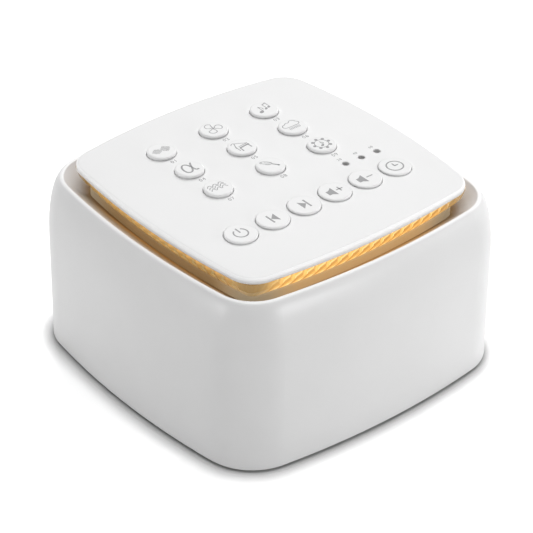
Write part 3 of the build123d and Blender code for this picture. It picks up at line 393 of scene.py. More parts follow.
@dataclass(frozen=True)
class LitPrism(Finish):
    """Clear polycarbonate cut as prisms, with warm light inside, which glows. A painted highlight makes the facets that
    face one way brighter than the others.

    Behind each facet a painted reflection of the next prism's edges shows as a slanted pale line with a dark one beside
    it; the glow is painted brighter at the front than along the sides, and the corners take a paler painted reflection.
    """

    body: str               # the plastic itself
    # line, deep, even and bright: tones of the painted reflection lines and of the facets' painted highlight; corner:
    # the paler painted reflection at the corners.
    line: str
    deep: str
    even: str
    bright: str
    corner: str
    # A front_glow above side_glow paints the front brighter than the sides.
    side_glow: float
    front_glow: float
    corner_share: float     # of the glow, at the corners
    pitch_mm: float         # of the prisms
    first_mm: float         # of a line from the middle of a side
    slant: float            # how far a line leans for its height
    high_mm: float          # the prisms' top
    spill: float = 0.2      # of the glow that reaches the pieces around it
    straight_mm: float = 26.0
    end_mm: float = 38.0
    fade_mm: Point = (2.4, 0.9)     # below the top, where the sides' glow is at its foot and where it is full
    foot_share: float = 0.4         # of the sides' glow, at its foot
    facet_share: float = 0.3        # of the facets' own tone, over the lines
    lean: float = 0.3       # how far a facet faces along the ring where its tone is full
    streak_mm: float = 1.1
    streak_share: float = 0.2
    roughness: float = 0.08
    clearness: float = 0.4
    ior: float = 1.58

    def shader(self, tree: Tree) -> Node:
        """Add lit prisms with their painted highlight and painted reflection, dimmer at the corners and at the sides'
        foot.

        Args:
            tree: The material's node tree.

        Returns:
            The shader node.
        """
        cornered, front = round_the_ring(tree, self.straight_mm, self.end_mm)
        facets = add_node(tree, "Mix", COLOURS, {
            "Factor": self.facing(tree), 6: linear(self.deep), 7: linear(self.bright),
        })
        cut = add_node(tree, "Mix", COLOURS, {"Factor": self.facet_share, 6: self.painted_edge_lines(tree), 7: facets})
        colour = add_node(tree, "Mix", COLOURS, {"Factor": cornered, 6: cut, 7: linear(self.corner)})
        foot, full = metres(*(self.high_mm - fade for fade in self.fade_mm))
        rise = add_node(tree, "MapRange", None, {
            "Value": object_place(tree).outputs["Z"], "From Min": foot, "From Max": full,
            "To Min": self.foot_share * self.side_glow, "To Max": self.side_glow,
        })
        glow = add_node(tree, "MapRange", None, {"Value": front, "To Min": rise, "To Max": self.front_glow})
        dimmed = add_node(tree, "MapRange", None, {"Value": cornered, "To Min": 1.0, "To Max": self.corner_share})
        strength = add_node(tree, "Math", "MULTIPLY", {0: glow, 1: dimmed})
        return add_node(tree, "BsdfPrincipled", None, {
            "Base Color": linear(self.body), "Roughness": self.roughness, "IOR": self.ior,
            "Transmission Weight": self.clearness, "Emission Color": colour,
            "Emission Strength": spilled(tree, strength, self.spill),
        })

    def facing(self, tree: Tree) -> Node:
        """Tell the facets that face one way along the ring, which take the painted highlight, from the others.

        Args:
            tree: The material's node tree.

        Returns:
            A node that gives 1 for the ones and 0 for the others, with faint streaks.
        """
        place, shape = add_node(tree, "TexCoord"), add_node(tree, "NewGeometry")
        outwards = add_node(tree, "VectorMath", "NORMALIZE", {0: place.outputs["Object"]})
        across = add_node(tree, "VectorMath", "CROSS_PRODUCT", {0: outwards, 1: shape.outputs["True Normal"]})
        turn = add_node(tree, "SeparateXYZ", None, {"Vector": across})
        facing = add_node(tree, "MapRange", None, {
            "Value": turn.outputs["Z"], "From Min": -self.lean, "From Max": self.lean,
        })
        return add_node(tree, "Mix", AMOUNTS, {
            "Factor": self.streak_share, 2: facing, 3: object_noise(tree, self.streak_mm, 3.0),
        })

    def painted_edge_lines(self, tree: Tree) -> Node:
        """Draw the painted reflection of the prisms' edges as slanted lines, one for each prism, the same way round on
        all four sides.

        Args:
            tree: The material's node tree.

        Returns:
            A node that gives the colour.
        """
        spot = object_place(tree)
        worked: dict[Any, Any] = {axis: spot.outputs[axis] for axis in "XYZ"}
        for name, operation, first, second in (
            ("wide", "ABSOLUTE", "X", 0.0),
            ("deep", "ABSOLUTE", "Y", 0.0),
            ("from the middle", "MINIMUM", "wide", "deep"),
            ("sideways", "SUBTRACT", "wide", "deep"),
            ("quarter", "MULTIPLY", "X", "Y"),
            ("eighth", "MULTIPLY", "quarter", "sideways"),
            ("way round", "SIGN", "eighth", 0.0),
            ("along", "MULTIPLY", "from the middle", "way round"),
            ("height", "SUBTRACT", "Z", metres(self.high_mm)),
            ("lean", "MULTIPLY", "height", self.slant),
            ("upright", "SUBTRACT", "along", "lean"),
            ("from the first", "SUBTRACT", "upright", metres(self.first_mm)),
            ("prisms", "DIVIDE", "from the first", metres(self.pitch_mm)),
            ("share", "FRACT", "prisms", 0.0),
        ):
            worked[name] = add_node(tree, "Math", operation, {
                0: worked.get(first, first), 1: worked.get(second, second),
            })
        ramp = add_node(tree, "ValToRGB", None, {"Fac": worked["share"]})
        stops = ramp.color_ramp.elements
        stops[0].color, stops[1].color = linear(self.line), linear(self.even)
        for at, tone in ((0.15, self.line), (0.24, self.deep), (0.44, self.deep), (0.56, self.even)):
            stops.new(at).color = linear(tone)
        return ramp


@dataclass(frozen=True)
class LitDiffuser(Finish):
    """Frosted acrylic lit from behind, which glows amber along its sides; it is painted brightest at the front, and its
    corners take a paler painted reflection.
    """

    body: str
    # side: the glow's own amber; corner: the paler painted reflection at the corners.
    side: str
    corner: str
    # A front_glow above side_glow paints the front brighter than the sides.
    side_glow: float
    front_glow: float
    corner_glow: float
    spill: float = 0.2      # of the glow that reaches the pieces around it
    straight_mm: float = 20.0
    end_mm: float = 36.0
    cloud_mm: float = 5.0
    cloud_share: float = 0.12
    roughness: float = 0.3
    ior: float = 1.49

    def shader(self, tree: Tree) -> Node:
        """Add a faintly clouded glow, with the painted brighter front and pale painted reflection at the corners.

        Args:
            tree: The material's node tree.

        Returns:
            The shader node.
        """
        cornered, front = round_the_ring(tree, self.straight_mm, self.end_mm)
        share = add_node(tree, "Mix", AMOUNTS, {
            "Factor": self.cloud_share, 2: cornered, 3: object_noise(tree, self.cloud_mm),
        })
        tint = add_node(tree, "Mix", COLOURS, {"Factor": share, 6: linear(self.side), 7: linear(self.corner)})
        straight = add_node(tree, "MapRange", None, {
            "Value": front, "To Min": self.side_glow, "To Max": self.front_glow,
        })
        strength = add_node(tree, "Mix", AMOUNTS, {"Factor": cornered, 2: straight, 3: self.corner_glow})
        return add_node(tree, "BsdfPrincipled", None, {
            "Base Color": linear(self.body), "Roughness": self.roughness, "IOR": self.ior, "Emission Color": tint,
            "Emission Strength": spilled(tree, strength, self.spill),
        })


@dataclass(frozen=True)
class Cloth(Finish):
    """Woven or pressed fibre: a criss-cross of threads with a dull surface."""

    colour: str
    gap: str
    thread_mm: float
    roughness: float = 0.9
    wave: float = 0.314     # the length of a wave texture's wave at a scale of 1

    def shader(self, tree: Tree) -> Node:
        """Add raised threads over darker gaps.

        Args:
            tree: The material's node tree.

        Returns:
            The shader node.
        """
        place = add_node(tree, "TexCoord")
        threads = [
            add_node(tree, "TexWave", {"bands_direction": direction}, {
                "Vector": place.outputs["Object"], "Scale": self.wave / metres(self.thread_mm), "Distortion": 0.6,
            }).outputs["Fac"]
            for direction in ("X", "Y")
        ]
        weave = add_node(tree, "Math", "MAXIMUM", {0: threads[0], 1: threads[1]})
        colour = add_node(tree, "Mix", COLOURS, {"Factor": weave, 6: linear(self.gap), 7: linear(self.colour)})
        bump = add_node(tree, "Bump", None, {
            "Height": weave, "Strength": 0.6, "Distance": metres(self.thread_mm / 4),
        })
        return add_node(tree, "BsdfPrincipled", None, {
            "Base Color": colour, "Roughness": self.roughness, "Normal": bump,
        })


@dataclass(frozen=True)
class LightChip(Finish):
    """Encapsulated light: a yellow lens that glows."""

    colour: str
    glow: float
    pale: str = "FFF1CF"
    lens_mm: float = 1.5
    roughness: float = 0.3

    def shader(self, tree: Tree) -> Node:
        """Add a glowing lens.

        Args:
            tree: The material's node tree.

        Returns:
            The shader node.
        """
        colour = two_tones(tree, self.lens_mm, self.colour, self.pale)
        return add_node(tree, "BsdfPrincipled", None, {
            "Base Color": colour, "Roughness": self.roughness, "Emission Color": colour, "Emission Strength": self.glow,
        })


@dataclass(frozen=True)
class MattPaper(Finish):
    """The studio's paper floor: dull and plain, and darker close to what stands on it."""

    colour: str
    tone: str
    gain: float             # how much paler the camera sees it
    contact_mm: float       # how far the shadow at the object's foot spreads
    contact_tone: float     # how dark it is at the foot itself
    grain_mm: float = 3.0

    def shader(self, tree: Tree) -> Node:
        """Add paper with a contact shadow.

        Args:
            tree: The material's node tree.

        Returns:
            The shader node.
        """
        nearness = add_node(tree, "AmbientOcclusion", None, {"Distance": metres(self.contact_mm)})
        contact = add_node(tree, "MapRange", None, {
            "Value": nearness.outputs["AO"], "From Min": 0.5, "To Min": self.contact_tone * self.gain,
            "To Max": self.gain,
        })
        gain = add_node(tree, "Mix", AMOUNTS, {"Factor": seen_directly(tree), 2: 1.0, 3: contact})
        seen = add_node(tree, "VectorMath", "SCALE", {
            0: two_tones(tree, self.grain_mm, self.colour, self.tone), "Scale": gain,
        })
        return add_node(tree, "BsdfDiffuse", None, {"Color": seen})


# Housing: white ABS, moulded in an eroded tool. The real grain is about 0.05 mm and is drawn coarser to show.
# The housing's crest gets a painted highlight, and the foot of its inward slope painted warm light and shade from the
# ring.
HOUSING_ABS = MouldedPlastic("housing_abs", "EDEDED", "E8E8E8", 0.38, 0.45, 0.01, glow=0.15, painted_highlight_mm=(52.9, 53.3),
                             painted_highlight_level=(0.7, 0.95), painted_ring_light="C8A470", painted_ring_light_mm=(47.2, 49.6))
# The plate's outer side gets a painted highlight that grows towards its top.
PLATE_ABS = MouldedPlastic("plate_abs", "F1F1F1", "EEEEEE", 0.48, 0.45, 0.01, edge_mm=0.8, glow=0.2,
                           painted_highlight_mm=(56.5, 57.6), painted_highlight_reach_mm=41.0)
# The keys' sides get a faint painted highlight just under their tops.
KEY_ABS = MouldedPlastic("key_abs", "EBEBEB", "E8E8E8", 0.40, 0.40, 0.006, edge_mm=0.4, glow=0.08,
                         painted_highlight_mm=(59.3, 59.55), crown_radius=1081.6)
# Pad-printed ink: thin, dull and slightly uneven at its edges.
PRINT_INK = MouldedPlastic("print_ink", "9A9A9B", "A3A3A4", 0.62, 0.20, 0.004, 1.2)
FRAME_PLASTIC = MouldedPlastic("frame_plastic", "DADAD6", "CFCFCA", 0.5, 0.6, 0.02)
STRIP_FILM = MouldedPlastic("strip_film", "F2E9D2", "E8DDC0", 0.35, 0.3, 0.004)
SMOKED_PIPE = MouldedPlastic("smoked_pipe", "6E6A66", "5C5855", 0.15, 0.5, 0.002)
SWITCH_PLASTIC = MouldedPlastic("switch_plastic", "1E1E20", "262629", 0.5, 0.3, 0.01)
STEM_PLASTIC = MouldedPlastic("stem_plastic", "D8D5CC", "CDCAC0", 0.4, 0.3, 0.01)
SOCKET_PLASTIC = MouldedPlastic("socket_plastic", "17171A", "202024", 0.45, 0.3, 0.01)
FOOT_RUBBER = MouldedPlastic("foot_rubber", "8E8E92", "848488", 0.82, 0.35, 0.02)
SURROUND_RUBBER = MouldedPlastic("surround_rubber", "18181A", "202022", 0.7, 0.35, 0.01)
LEAD_SLEEVE = MouldedPlastic("lead_sleeve", "A02020", "8E1A1A", 0.5, 0.4, 0.005)
RIBBON_SLEEVE = MouldedPlastic("ribbon_sleeve", "B8B8BC", "A8A8AC", 0.5, 1.2, 0.03)
BOARD_MASK = MouldedPlastic("board_mask", "1E6B40", "185833", 0.3, 0.7, 0.01)
FERRITE = MouldedPlastic("ferrite", "35353A", "2C2C30", 0.65, 0.3, 0.02)
BASKET_PAINT = MouldedPlastic("basket_paint", "1C1C1F", "242428", 0.45, 0.5, 0.015)
SCREW_STEEL = PlatedSteel("screw_steel", "B4B4BA", 0.34)
INLET_STEEL = PlatedSteel("inlet_steel", "C2C2C8", 0.28)
COIL_WIRE = PlatedSteel("coil_wire", "B87333", 0.35, 0.12)
CONE_PAPER = Cloth("cone_paper", "222226", "16161A", 0.4)
SPIDER_CLOTH = Cloth("spider_cloth", "C9A557", "8A6E34", 0.5)
RING_PRISM = LitPrism("ring_prism", "9C7C48", "FFECA8", "A8743A", "F4BC68", "FFDA8C", "CDB07C", 0.74, 0.88, 0.3,
                      3.753, -0.94, 0.33, 55.9)
RING_DIFFUSER = LitDiffuser("ring_diffuser", "A89878", "FFCE8E", "FFEBC8", 0.16, 0.42, 0.22)
RING_CHIP = LightChip("ring_chip", "FFC860", 3.0)
INDICATOR_CHIP = LightChip("indicator_chip", "E8D9A8", 0.0)
FLOOR_PAPER = MattPaper("matt_paper", "F6F6F6", "F4F4F4", 1.78, 5.5, 0.36)


class Paints:
    """Makes each finish once and puts it on pieces."""

    def __init__(self) -> None:
        """Start with no material made."""
        self.made: dict[str, Material] = {}

    def material(self, finish: Finish) -> Material:
        """Give a finish's material, made the first time that it is asked for.

        Args:
            finish: The finish.

        Returns:
            Its material.
        """
        if finish.name not in self.made:
            self.made[finish.name] = finish.build()
        return self.made[finish.name]

    def dress(self, finish: Finish, *nodes: str) -> None:
        """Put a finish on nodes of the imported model.

        Args:
            finish: The finish.
            nodes: The nodes' names.
        """
        for name in nodes:
            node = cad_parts[name]
            for place in node.material_slots:
                place.material = self.material(finish)
            LOG.info("dressed %s in %s", name, finish.name)

    def coat(self, piece: Piece, finish: Finish) -> None:
        """Put a finish on a new piece."""
        piece.data.materials.clear()
        piece.data.materials.append(self.material(finish))


# ---------------------------------------------------------------- modelling helpers

def deselect() -> None:
    """Leave object mode with nothing selected."""
    if bpy.context.object and bpy.context.object.mode != "OBJECT":
        bpy.ops.object.mode_set(mode="OBJECT")
    bpy.ops.object.select_all(action="DESELECT")


def settle(piece: Piece) -> Piece:
    """Put a piece's place, turn and size into its mesh.

    Args:
        piece: The piece, at its place.

    Returns:
        The same piece, at the origin, unturned and unscaled.
    """
    deselect()
    piece.select_set(True)
    bpy.context.view_layer.objects.active = piece
    bpy.ops.object.transform_apply(location=True, rotation=True, scale=True)
    return piece


def join(parts: list[Piece], name: str) -> Piece:
    """Join meshes into one piece.

    Args:
        parts: The meshes.
        name: The piece's name.

    Returns:
        The joined piece.
    """
    deselect()
    for part in parts:
        part.select_set(True)
    bpy.context.view_layer.objects.active = parts[0]
    if len(parts) > 1:
        bpy.ops.object.join()
    parts[0].name = name
    return parts[0]


class Printer:
    """Makes flat shapes of ink in the XY plane, in millimetres round a mark's own middle."""

    THICKNESS = 0.04
    CAP_SHARE = 0.7         # of a type's size that its figures take up
    ARC_STEP = 15           # degrees between the points of an arc

    def disc(self, x: float, y: float, radius: float, sides: int = 24, turn: float = 0.0,
             stretch: float = 1.0) -> Piece:
        """Print a filled circle or regular shape.

        Args:
            x: Its middle, to the right.
            y: Its middle, upwards.
            radius: Its radius.
            sides: How many corners it has.
            turn: How far it is turned, in degrees.
            stretch: Its width over its height, before it is turned.

        Returns:
            The shape.
        """
        deselect()
        bpy.ops.mesh.primitive_circle_add(vertices=sides, radius=metres(radius), fill_type="NGON",
                                          location=metres(x, y, 0), rotation=(0, 0, math.radians(turn)))
        piece = bpy.context.object
        piece.scale = (stretch, 1, 1)
        return self.thicken(settle(piece))

    def bar(self, x: float, y: float, length: float, width: float, turn: float = 0.0) -> Piece:
        """Print a straight bar.

        Args:
            x: Its middle, to the right.
            y: Its middle, upwards.
            length: Its length.
            width: Its width.
            turn: How far it is turned from the horizontal, in degrees.

        Returns:
            The bar.
        """
        deselect()
        bpy.ops.mesh.primitive_plane_add(size=1, location=metres(x, y, 0), rotation=(0, 0, math.radians(turn)))
        piece = bpy.context.object
        piece.scale = (*metres(length, width), 1)
        return self.thicken(settle(piece))

    def plate(self, corners: list[Point]) -> Piece:
        """Print a filled shape with straight sides.

        Args:
            corners: Its corners in order.

        Returns:
            The shape.
        """
        deselect()
        bpy.ops.mesh.primitive_circle_add(vertices=len(corners), radius=metres(1), fill_type="NGON")
        piece = bpy.context.object
        for vertex, corner in zip(piece.data.vertices, corners):
            vertex.co = (*metres(*corner), 0)
        return self.thicken(piece)

    def stroke(self, points: list[Point], width: float, closed: bool = False) -> Piece:
        """Print a smooth line through a few points.

        Args:
            points: Its control points in order.
            width: Its width.
            closed: Whether it runs back to its start.

        Returns:
            The line.
        """
        deselect()
        bpy.ops.curve.primitive_nurbs_path_add()
        piece = bpy.context.object
        piece.data.splines.clear()
        spline = piece.data.splines.new("NURBS")
        spline.points.add(len(points) - 1)
        for control, point in zip(spline.points, points):
            control.co = (*metres(*point), 0, 1)
        spline.order_u = 3
        spline.use_cyclic_u = closed
        spline.use_endpoint_u = not closed
        spline.resolution_u = 6
        piece.data.bevel_depth = metres(width / 2)
        piece.data.bevel_resolution = 1
        piece.data.use_fill_caps = True
        bpy.ops.object.convert(target="MESH")
        piece = bpy.context.object
        piece.scale = (1, 1, self.THICKNESS / width)
        return settle(piece)

    def arc(self, radius: float, start: float, end: float, width: float) -> Piece:
        """Print part of a ring round the mark's middle.

        Args:
            radius: The radius of its middle line.
            start: Where it starts, in degrees anticlockwise from the right.
            end: Where it ends.
            width: Its width.

        Returns:
            The arc.
        """
        whole = end - start >= 360
        steps = max(6, round((end - start) / self.ARC_STEP))
        count = steps if whole else steps + 1
        angles = [math.radians(start + (end - start) * step / steps) for step in range(count)]
        points = [(radius * math.cos(angle), radius * math.sin(angle)) for angle in angles]
        return self.stroke(points, width, whole)

    def figures(self, body: str, height: float) -> Piece:
        """Print figures.

        Args:
            body: The figures.
            height: Their height.

        Returns:
            The figures, as a mesh round their middle.
        """
        deselect()
        bpy.ops.object.text_add()
        piece = bpy.context.object
        piece.data.body = body
        piece.data.size = metres(height) / self.CAP_SHARE
        piece.data.align_x, piece.data.align_y = "CENTER", "CENTER"
        piece.data.extrude = metres(self.THICKNESS / 2)
        piece.data.space_character = 1.15
        piece.data.resolution_u = 3
        bpy.ops.object.convert(target="MESH")
        return settle(bpy.context.object)

    def thicken(self, piece: Piece) -> Piece:
        """Give a flat shape the thickness of the ink.

        Args:
            piece: The flat shape.

        Returns:
            The same piece.
        """
        skin = piece.modifiers.new("ink", "SOLIDIFY")
        skin.thickness = metres(self.THICKNESS)
        skin.offset = 0
        bpy.context.view_layer.objects.active = piece
        bpy.ops.object.modifier_apply(modifier=skin.name)
        return piece


class Mark(Enum):
    """The symbols on the keys, named for what each key plays or does."""

    WHITE_NOISE = "white_noise"
    FAN = "fan"
    LULLABY = "lullaby"
    DEEP_TONE = "deep_tone"
    PIANO = "piano"
    RAIN = "rain"
    WAVES = "waves"
    BIRDS = "birds"
    OWN_SOUND = "own_sound"
    POWER = "power"
    PREVIOUS = "previous"
    NEXT = "next"
    VOLUME_UP = "volume_up"
    VOLUME_DOWN = "volume_down"
    TIMER = "timer"


@dataclass
class KeyMarks:
    """The printed symbols on the key caps, drawn in millimetres round each cap's middle."""

    paints: Paints
    ink: Printer
    fine: float = 0.24          # the widths of the lines
    medium: float = 0.42
    bold: float = 0.52
    lift: float = 0.005         # of the ink's middle above the cap

    def build(self) -> None:
        """Print every key's symbol and let it ride on its key."""
        for mark in Mark:
            piece = join(self.draw(mark), f"mark_{mark.value}")
            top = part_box(f"key_{mark.value}")[1].z
            piece.location = (*metres(*middle_of(f"key_{mark.value}")), top + metres(self.lift))
            settle(piece)
            self.paints.coat(piece, PRINT_INK)
            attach(piece, f"button_{mark.value}")
            LOG.info("printed %s", piece.name)

    def draw(self, mark: Mark) -> list[Piece]:
        """Give the flat parts of one symbol."""
        return getattr(self, mark.value)()

    def white_noise(self) -> list[Piece]:
        """Two swells of noise, drawn in short ticks.

        Returns:
            Its parts.
        """
        pitch, tick = 0.36, 0.23
        heights = [1, 3, 5, 6, 7, 6, 5, 4, 2, 4, 5, 7, 8, 7, 6, 4, 2]
        parts = []
        for column, count in enumerate(heights):
            x = (column - (len(heights) - 1) / 2) * pitch
            for row in range(count):
                parts.append(self.ink.bar(x, 0.2 + (row - (count - 1) / 2) * pitch * 1.1, tick, tick))
        return parts

    def fan(self) -> list[Piece]:
        """Three outlined blades round a hub.

        Returns:
            Its parts.
        """
        blade = [(0.1, 0.3), (-0.7, 0.7), (-1.35, 1.6), (-0.7, 2.75), (0.6, 2.8), (1.3, 1.9), (0.6, 1.2), (0.35, 0.6)]
        parts = []
        for turn in (20, 140, 260):
            angle = math.radians(turn)
            turned = [(x * math.cos(angle) - y * math.sin(angle) + 0.15,
                       x * math.sin(angle) + y * math.cos(angle) + 0.3) for x, y in blade]
            parts.append(self.ink.stroke(turned, self.fine, True))
        return parts + [self.ink.disc(0.15, 0.3, 0.28)]

    def note(self, x: float, y: float, size: float) -> list[Piece]:
        """A note with a flag.

        Args:
            x: The head's middle, to the right.
            y: The head's middle, upwards.
            size: The length of its stem.

        Returns:
            Its parts.
        """
        side = x + 0.24 * size
        return [
            self.ink.disc(x, y, 0.2 * size, 16, 20, 1.35),
            self.ink.bar(side, y + size / 2, size, 0.2, 90),
            self.ink.stroke([(side, y + size), (side + 0.1 * size, y + 0.75 * size),
                             (side + 0.32 * size, y + 0.6 * size), (side + 0.22 * size, y + 0.3 * size)], 0.26),
        ]

    def lullaby(self) -> list[Piece]:
        """One flagged note and two that share a beam.

        Returns:
            Its parts.
        """
        pair = [
            self.ink.disc(0.62, -0.25, 0.4, 16, 20, 1.3), self.ink.disc(1.9, 0.15, 0.4, 16, 20, 1.3),
            self.ink.bar(1.02, 1.0, 2.4, 0.2, 90), self.ink.bar(2.3, 1.4, 2.4, 0.2, 90),
            self.ink.bar(1.66, 2.4, 1.5, 0.34, 17),
        ]
        return self.note(-1.6, -0.95, 2.9) + pair

    def deep_tone(self) -> list[Piece]:
        """An open loop.

        Returns:
            Its parts.
        """
        loop = [(1.95, 2.3), (1.35, 1.5), (0.7, -0.6), (-0.5, -2.1), (-2.0, -1.5), (-2.0, 0.9), (-1.0, 2.4),
                (0.3, 2.2), (0.85, 0.6), (0.95, -0.7), (1.25, -1.9), (2.1, -1.6)]
        return [self.ink.stroke(loop, self.bold)]

    def piano(self) -> list[Piece]:
        """A grand piano with its lid up."""
        thin = self.fine
        return [
            self.ink.stroke([(-2.3, 2.0), (-1.9, 2.6), (-1.0, 2.7), (-0.9, 2.3)], thin),
            self.ink.stroke([(-0.9, 2.3), (0.6, 1.7), (1.5, 0.9), (2.4, 0.7)], thin),
            self.ink.bar(-1.5, 1.1, 2.6, thin, 68),
            self.ink.bar(0.8, 0.45, 3.3, thin, 6),
            self.ink.bar(0.75, -0.25, 3.5, self.bold, 7),
            self.ink.bar(-1.75, -0.6, 2.3, thin, 90),
            self.ink.bar(-1.0, -1.35, 2.0, 0.34, 86),
            self.ink.bar(2.15, -0.95, 1.9, 0.34, 94),
        ]

    def rain(self) -> list[Piece]:
        """A cloud over a row of drops.

        Returns:
            Its parts.
        """
        cloud = [(-2.5, 0.0), (-3.0, 0.8), (-2.4, 1.7), (-1.5, 1.7), (-0.9, 2.4), (0.1, 1.9), (0.9, 2.9), (2.2, 2.3),
                 (2.3, 1.5), (3.0, 0.9), (2.4, -0.1), (0.8, -0.1), (-1.0, -0.2)]
        drops = [self.ink.bar(-1.7 + 0.5 * step, -1.1, 0.95, 0.2, 84) for step in range(8)]
        return [self.ink.stroke(cloud, self.fine, True)] + drops

    def waves(self) -> list[Piece]:
        """Three rows of rolling waves.

        Returns:
            Its parts.
        """
        parts = []
        for y in (1.45, 0.45, -0.55):
            points = [(-2.85, y - 0.35)]
            for crest in range(3):
                x = -2.6 + 1.85 * crest
                points += [(x + 0.3, y + 0.45), (x + 1.0, y + 0.5), (x + 1.25, y - 0.45), (x + 1.6, y - 0.4)]
            parts.append(self.ink.stroke(points, self.fine))
        return parts

    def birds(self) -> list[Piece]:
        """A small bird on a twig.

        Returns:
            Its parts.
        """
        body = [(-2.2, 2.1), (-1.7, 2.7), (-0.8, 2.5), (0.2, 1.6), (0.8, 0.5), (0.5, 0.0), (-0.5, 0.3), (-1.3, 1.1),
                (-1.6, 1.8)]
        return [
            self.ink.stroke(body, self.fine, True),
            self.ink.stroke([(-0.9, 1.9), (-0.3, 0.9), (0.6, 0.6)], self.fine),
            self.ink.stroke([(-1.2, 0.9), (-0.6, 0.1), (0.2, 0.1)], self.fine),
            self.ink.bar(1.1, -0.75, 2.0, 0.4, -52),
            self.ink.disc(1.65, -1.55, 0.36, 16),
            self.ink.disc(-1.5, 2.2, 0.16, 12),
        ]

    def own_sound(self) -> list[Piece]:
        """A toothed wheel round a note.

        Returns:
            Its parts.
        """
        angles = [math.radians(45 * step) for step in range(8)]
        teeth = [self.ink.disc(2.55 * math.cos(angle), 2.55 * math.sin(angle), 0.5, 12) for angle in angles]
        return teeth + [self.ink.arc(2.1, 0, 360, self.fine)] + self.note(-0.4, -0.9, 2.1)

    def power(self) -> list[Piece]:
        """An open ring with a bar in its gap."""
        return [self.ink.arc(2.05, 122, 418, self.medium), self.ink.bar(0, 1.35, 2.3, self.medium, 90)]

    def previous(self) -> list[Piece]:
        """A bar and a wedge that points at it."""
        return [self.ink.bar(-0.85, 0, 3.9, self.bold, 90),
                self.ink.plate([(-0.5, 0), (1.4, -1.85), (1.4, 1.85)])]

    def next(self) -> list[Piece]:
        """A wedge and a bar that it points at."""
        return [self.ink.plate([(0.7, 0), (-1.2, 1.85), (-1.2, -1.85)]),
                self.ink.bar(1.05, 0, 3.9, self.bold, 90)]

    def horn(self) -> list[Piece]:
        """The loudspeaker of the two volume keys."""
        return [self.ink.plate([(-2.6, 1.0), (-2.6, -1.0), (-1.6, -1.0), (-0.2, -2.0), (-0.2, 2.0), (-1.6, 1.0)])]

    def volume_up(self) -> list[Piece]:
        """A loudspeaker and a plus."""
        return self.horn() + [self.ink.bar(1.65, 0.1, 2.2, 0.38), self.ink.bar(1.65, 0.1, 2.2, 0.38, 90)]

    def volume_down(self) -> list[Piece]:
        """A loudspeaker and a minus."""
        return self.horn() + [self.ink.bar(1.65, 0.1, 2.2, 0.38)]

    def timer(self) -> list[Piece]:
        """A clock face with two hands."""
        return [self.ink.arc(2.45, 0, 360, self.medium), self.ink.bar(0, 0.65, 1.5, self.medium, 90),
                self.ink.bar(0.55, 0.05, 1.3, self.medium)]


@dataclass
class KeyPlate:
    """The crowned plate, its keys and the figures printed on it."""

    paints: Paints
    ink: Printer
    crown_radius: float = 1081.6
    sound_keys: int = 9             # the first of the marks
    figure_height: float = 1.35
    figure_drop: float = 5.8        # below a sound key's middle
    timer_figure_height: float = 0.95
    timer_figure_rise: float = 2.7  # above an indicator's middle
    chip_half: float = 0.8          # of an indicator's width
    lift: float = 0.008             # of the ink's middle above the plate

    def build(self) -> None:
        """Dress the plate and its keys, and print the figures."""
        self.paints.dress(PLATE_ABS, "top_plate")
        self.paints.dress(KEY_ABS, *[f"key_{mark.value}" for mark in Mark])
        self.paints.dress(STEM_PLASTIC, *[f"stem_{mark.value}" for mark in Mark])
        self.paints.dress(SMOKED_PIPE, "indicator_pipes")
        self.paints.dress(INDICATOR_CHIP, "indicator_leds")
        self.paints.dress(SCREW_STEEL, "plate_screws")
        for number, mark in enumerate(list(Mark)[:self.sound_keys], 1):
            x, y = middle_of(f"key_{mark.value}")
            self.figure(f"figure_{number:02d}", f"{number:02d}", self.figure_height, x, y - self.figure_drop)
        middle, y = middle_of("indicator_leds")
        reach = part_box("indicator_leds")[1].x * MM_PER_METRE - middle - self.chip_half
        for step, minutes in zip((-1, 0, 1), ("20", "40", "60")):
            self.figure(f"figure_minutes_{minutes}", minutes, self.timer_figure_height, middle + step * reach,
                        y + self.timer_figure_rise)

    def height(self, x: float, y: float) -> float:
        """Give the plate's height at a place, all in millimetres."""
        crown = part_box("top_plate")[1].z * MM_PER_METRE
        return crown - (x * x + y * y) / (2 * self.crown_radius)

    def figure(self, name: str, body: str, height: float, x: float, y: float) -> None:
        """Print figures on the plate.

        Args:
            name: The piece's name.
            body: The figures.
            height: Their height.
            x: Their middle, to the right.
            y: Their middle, to the back.
        """
        piece = self.ink.figures(body, height)
        piece.name = name
        piece.location = metres(x, y, self.height(x, y) + self.lift)
        settle(piece)
        self.paints.coat(piece, PRINT_INK)
        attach(piece, HOUSING_BODY)
        LOG.info("printed %s", piece.name)


@dataclass
class Housing:
    """The shell, its base and what stands under it."""

    paints: Paints

    def build(self) -> None:
        """Dress the housing's pieces."""
        self.paints.dress(HOUSING_ABS, "outer_shell", "base_cover")
        self.paints.dress(FOOT_RUBBER, "rubber_feet")
        self.paints.dress(SCREW_STEEL, "base_screws", "small_screws")
        self.paints.dress(FRAME_PLASTIC, "inner_frame")


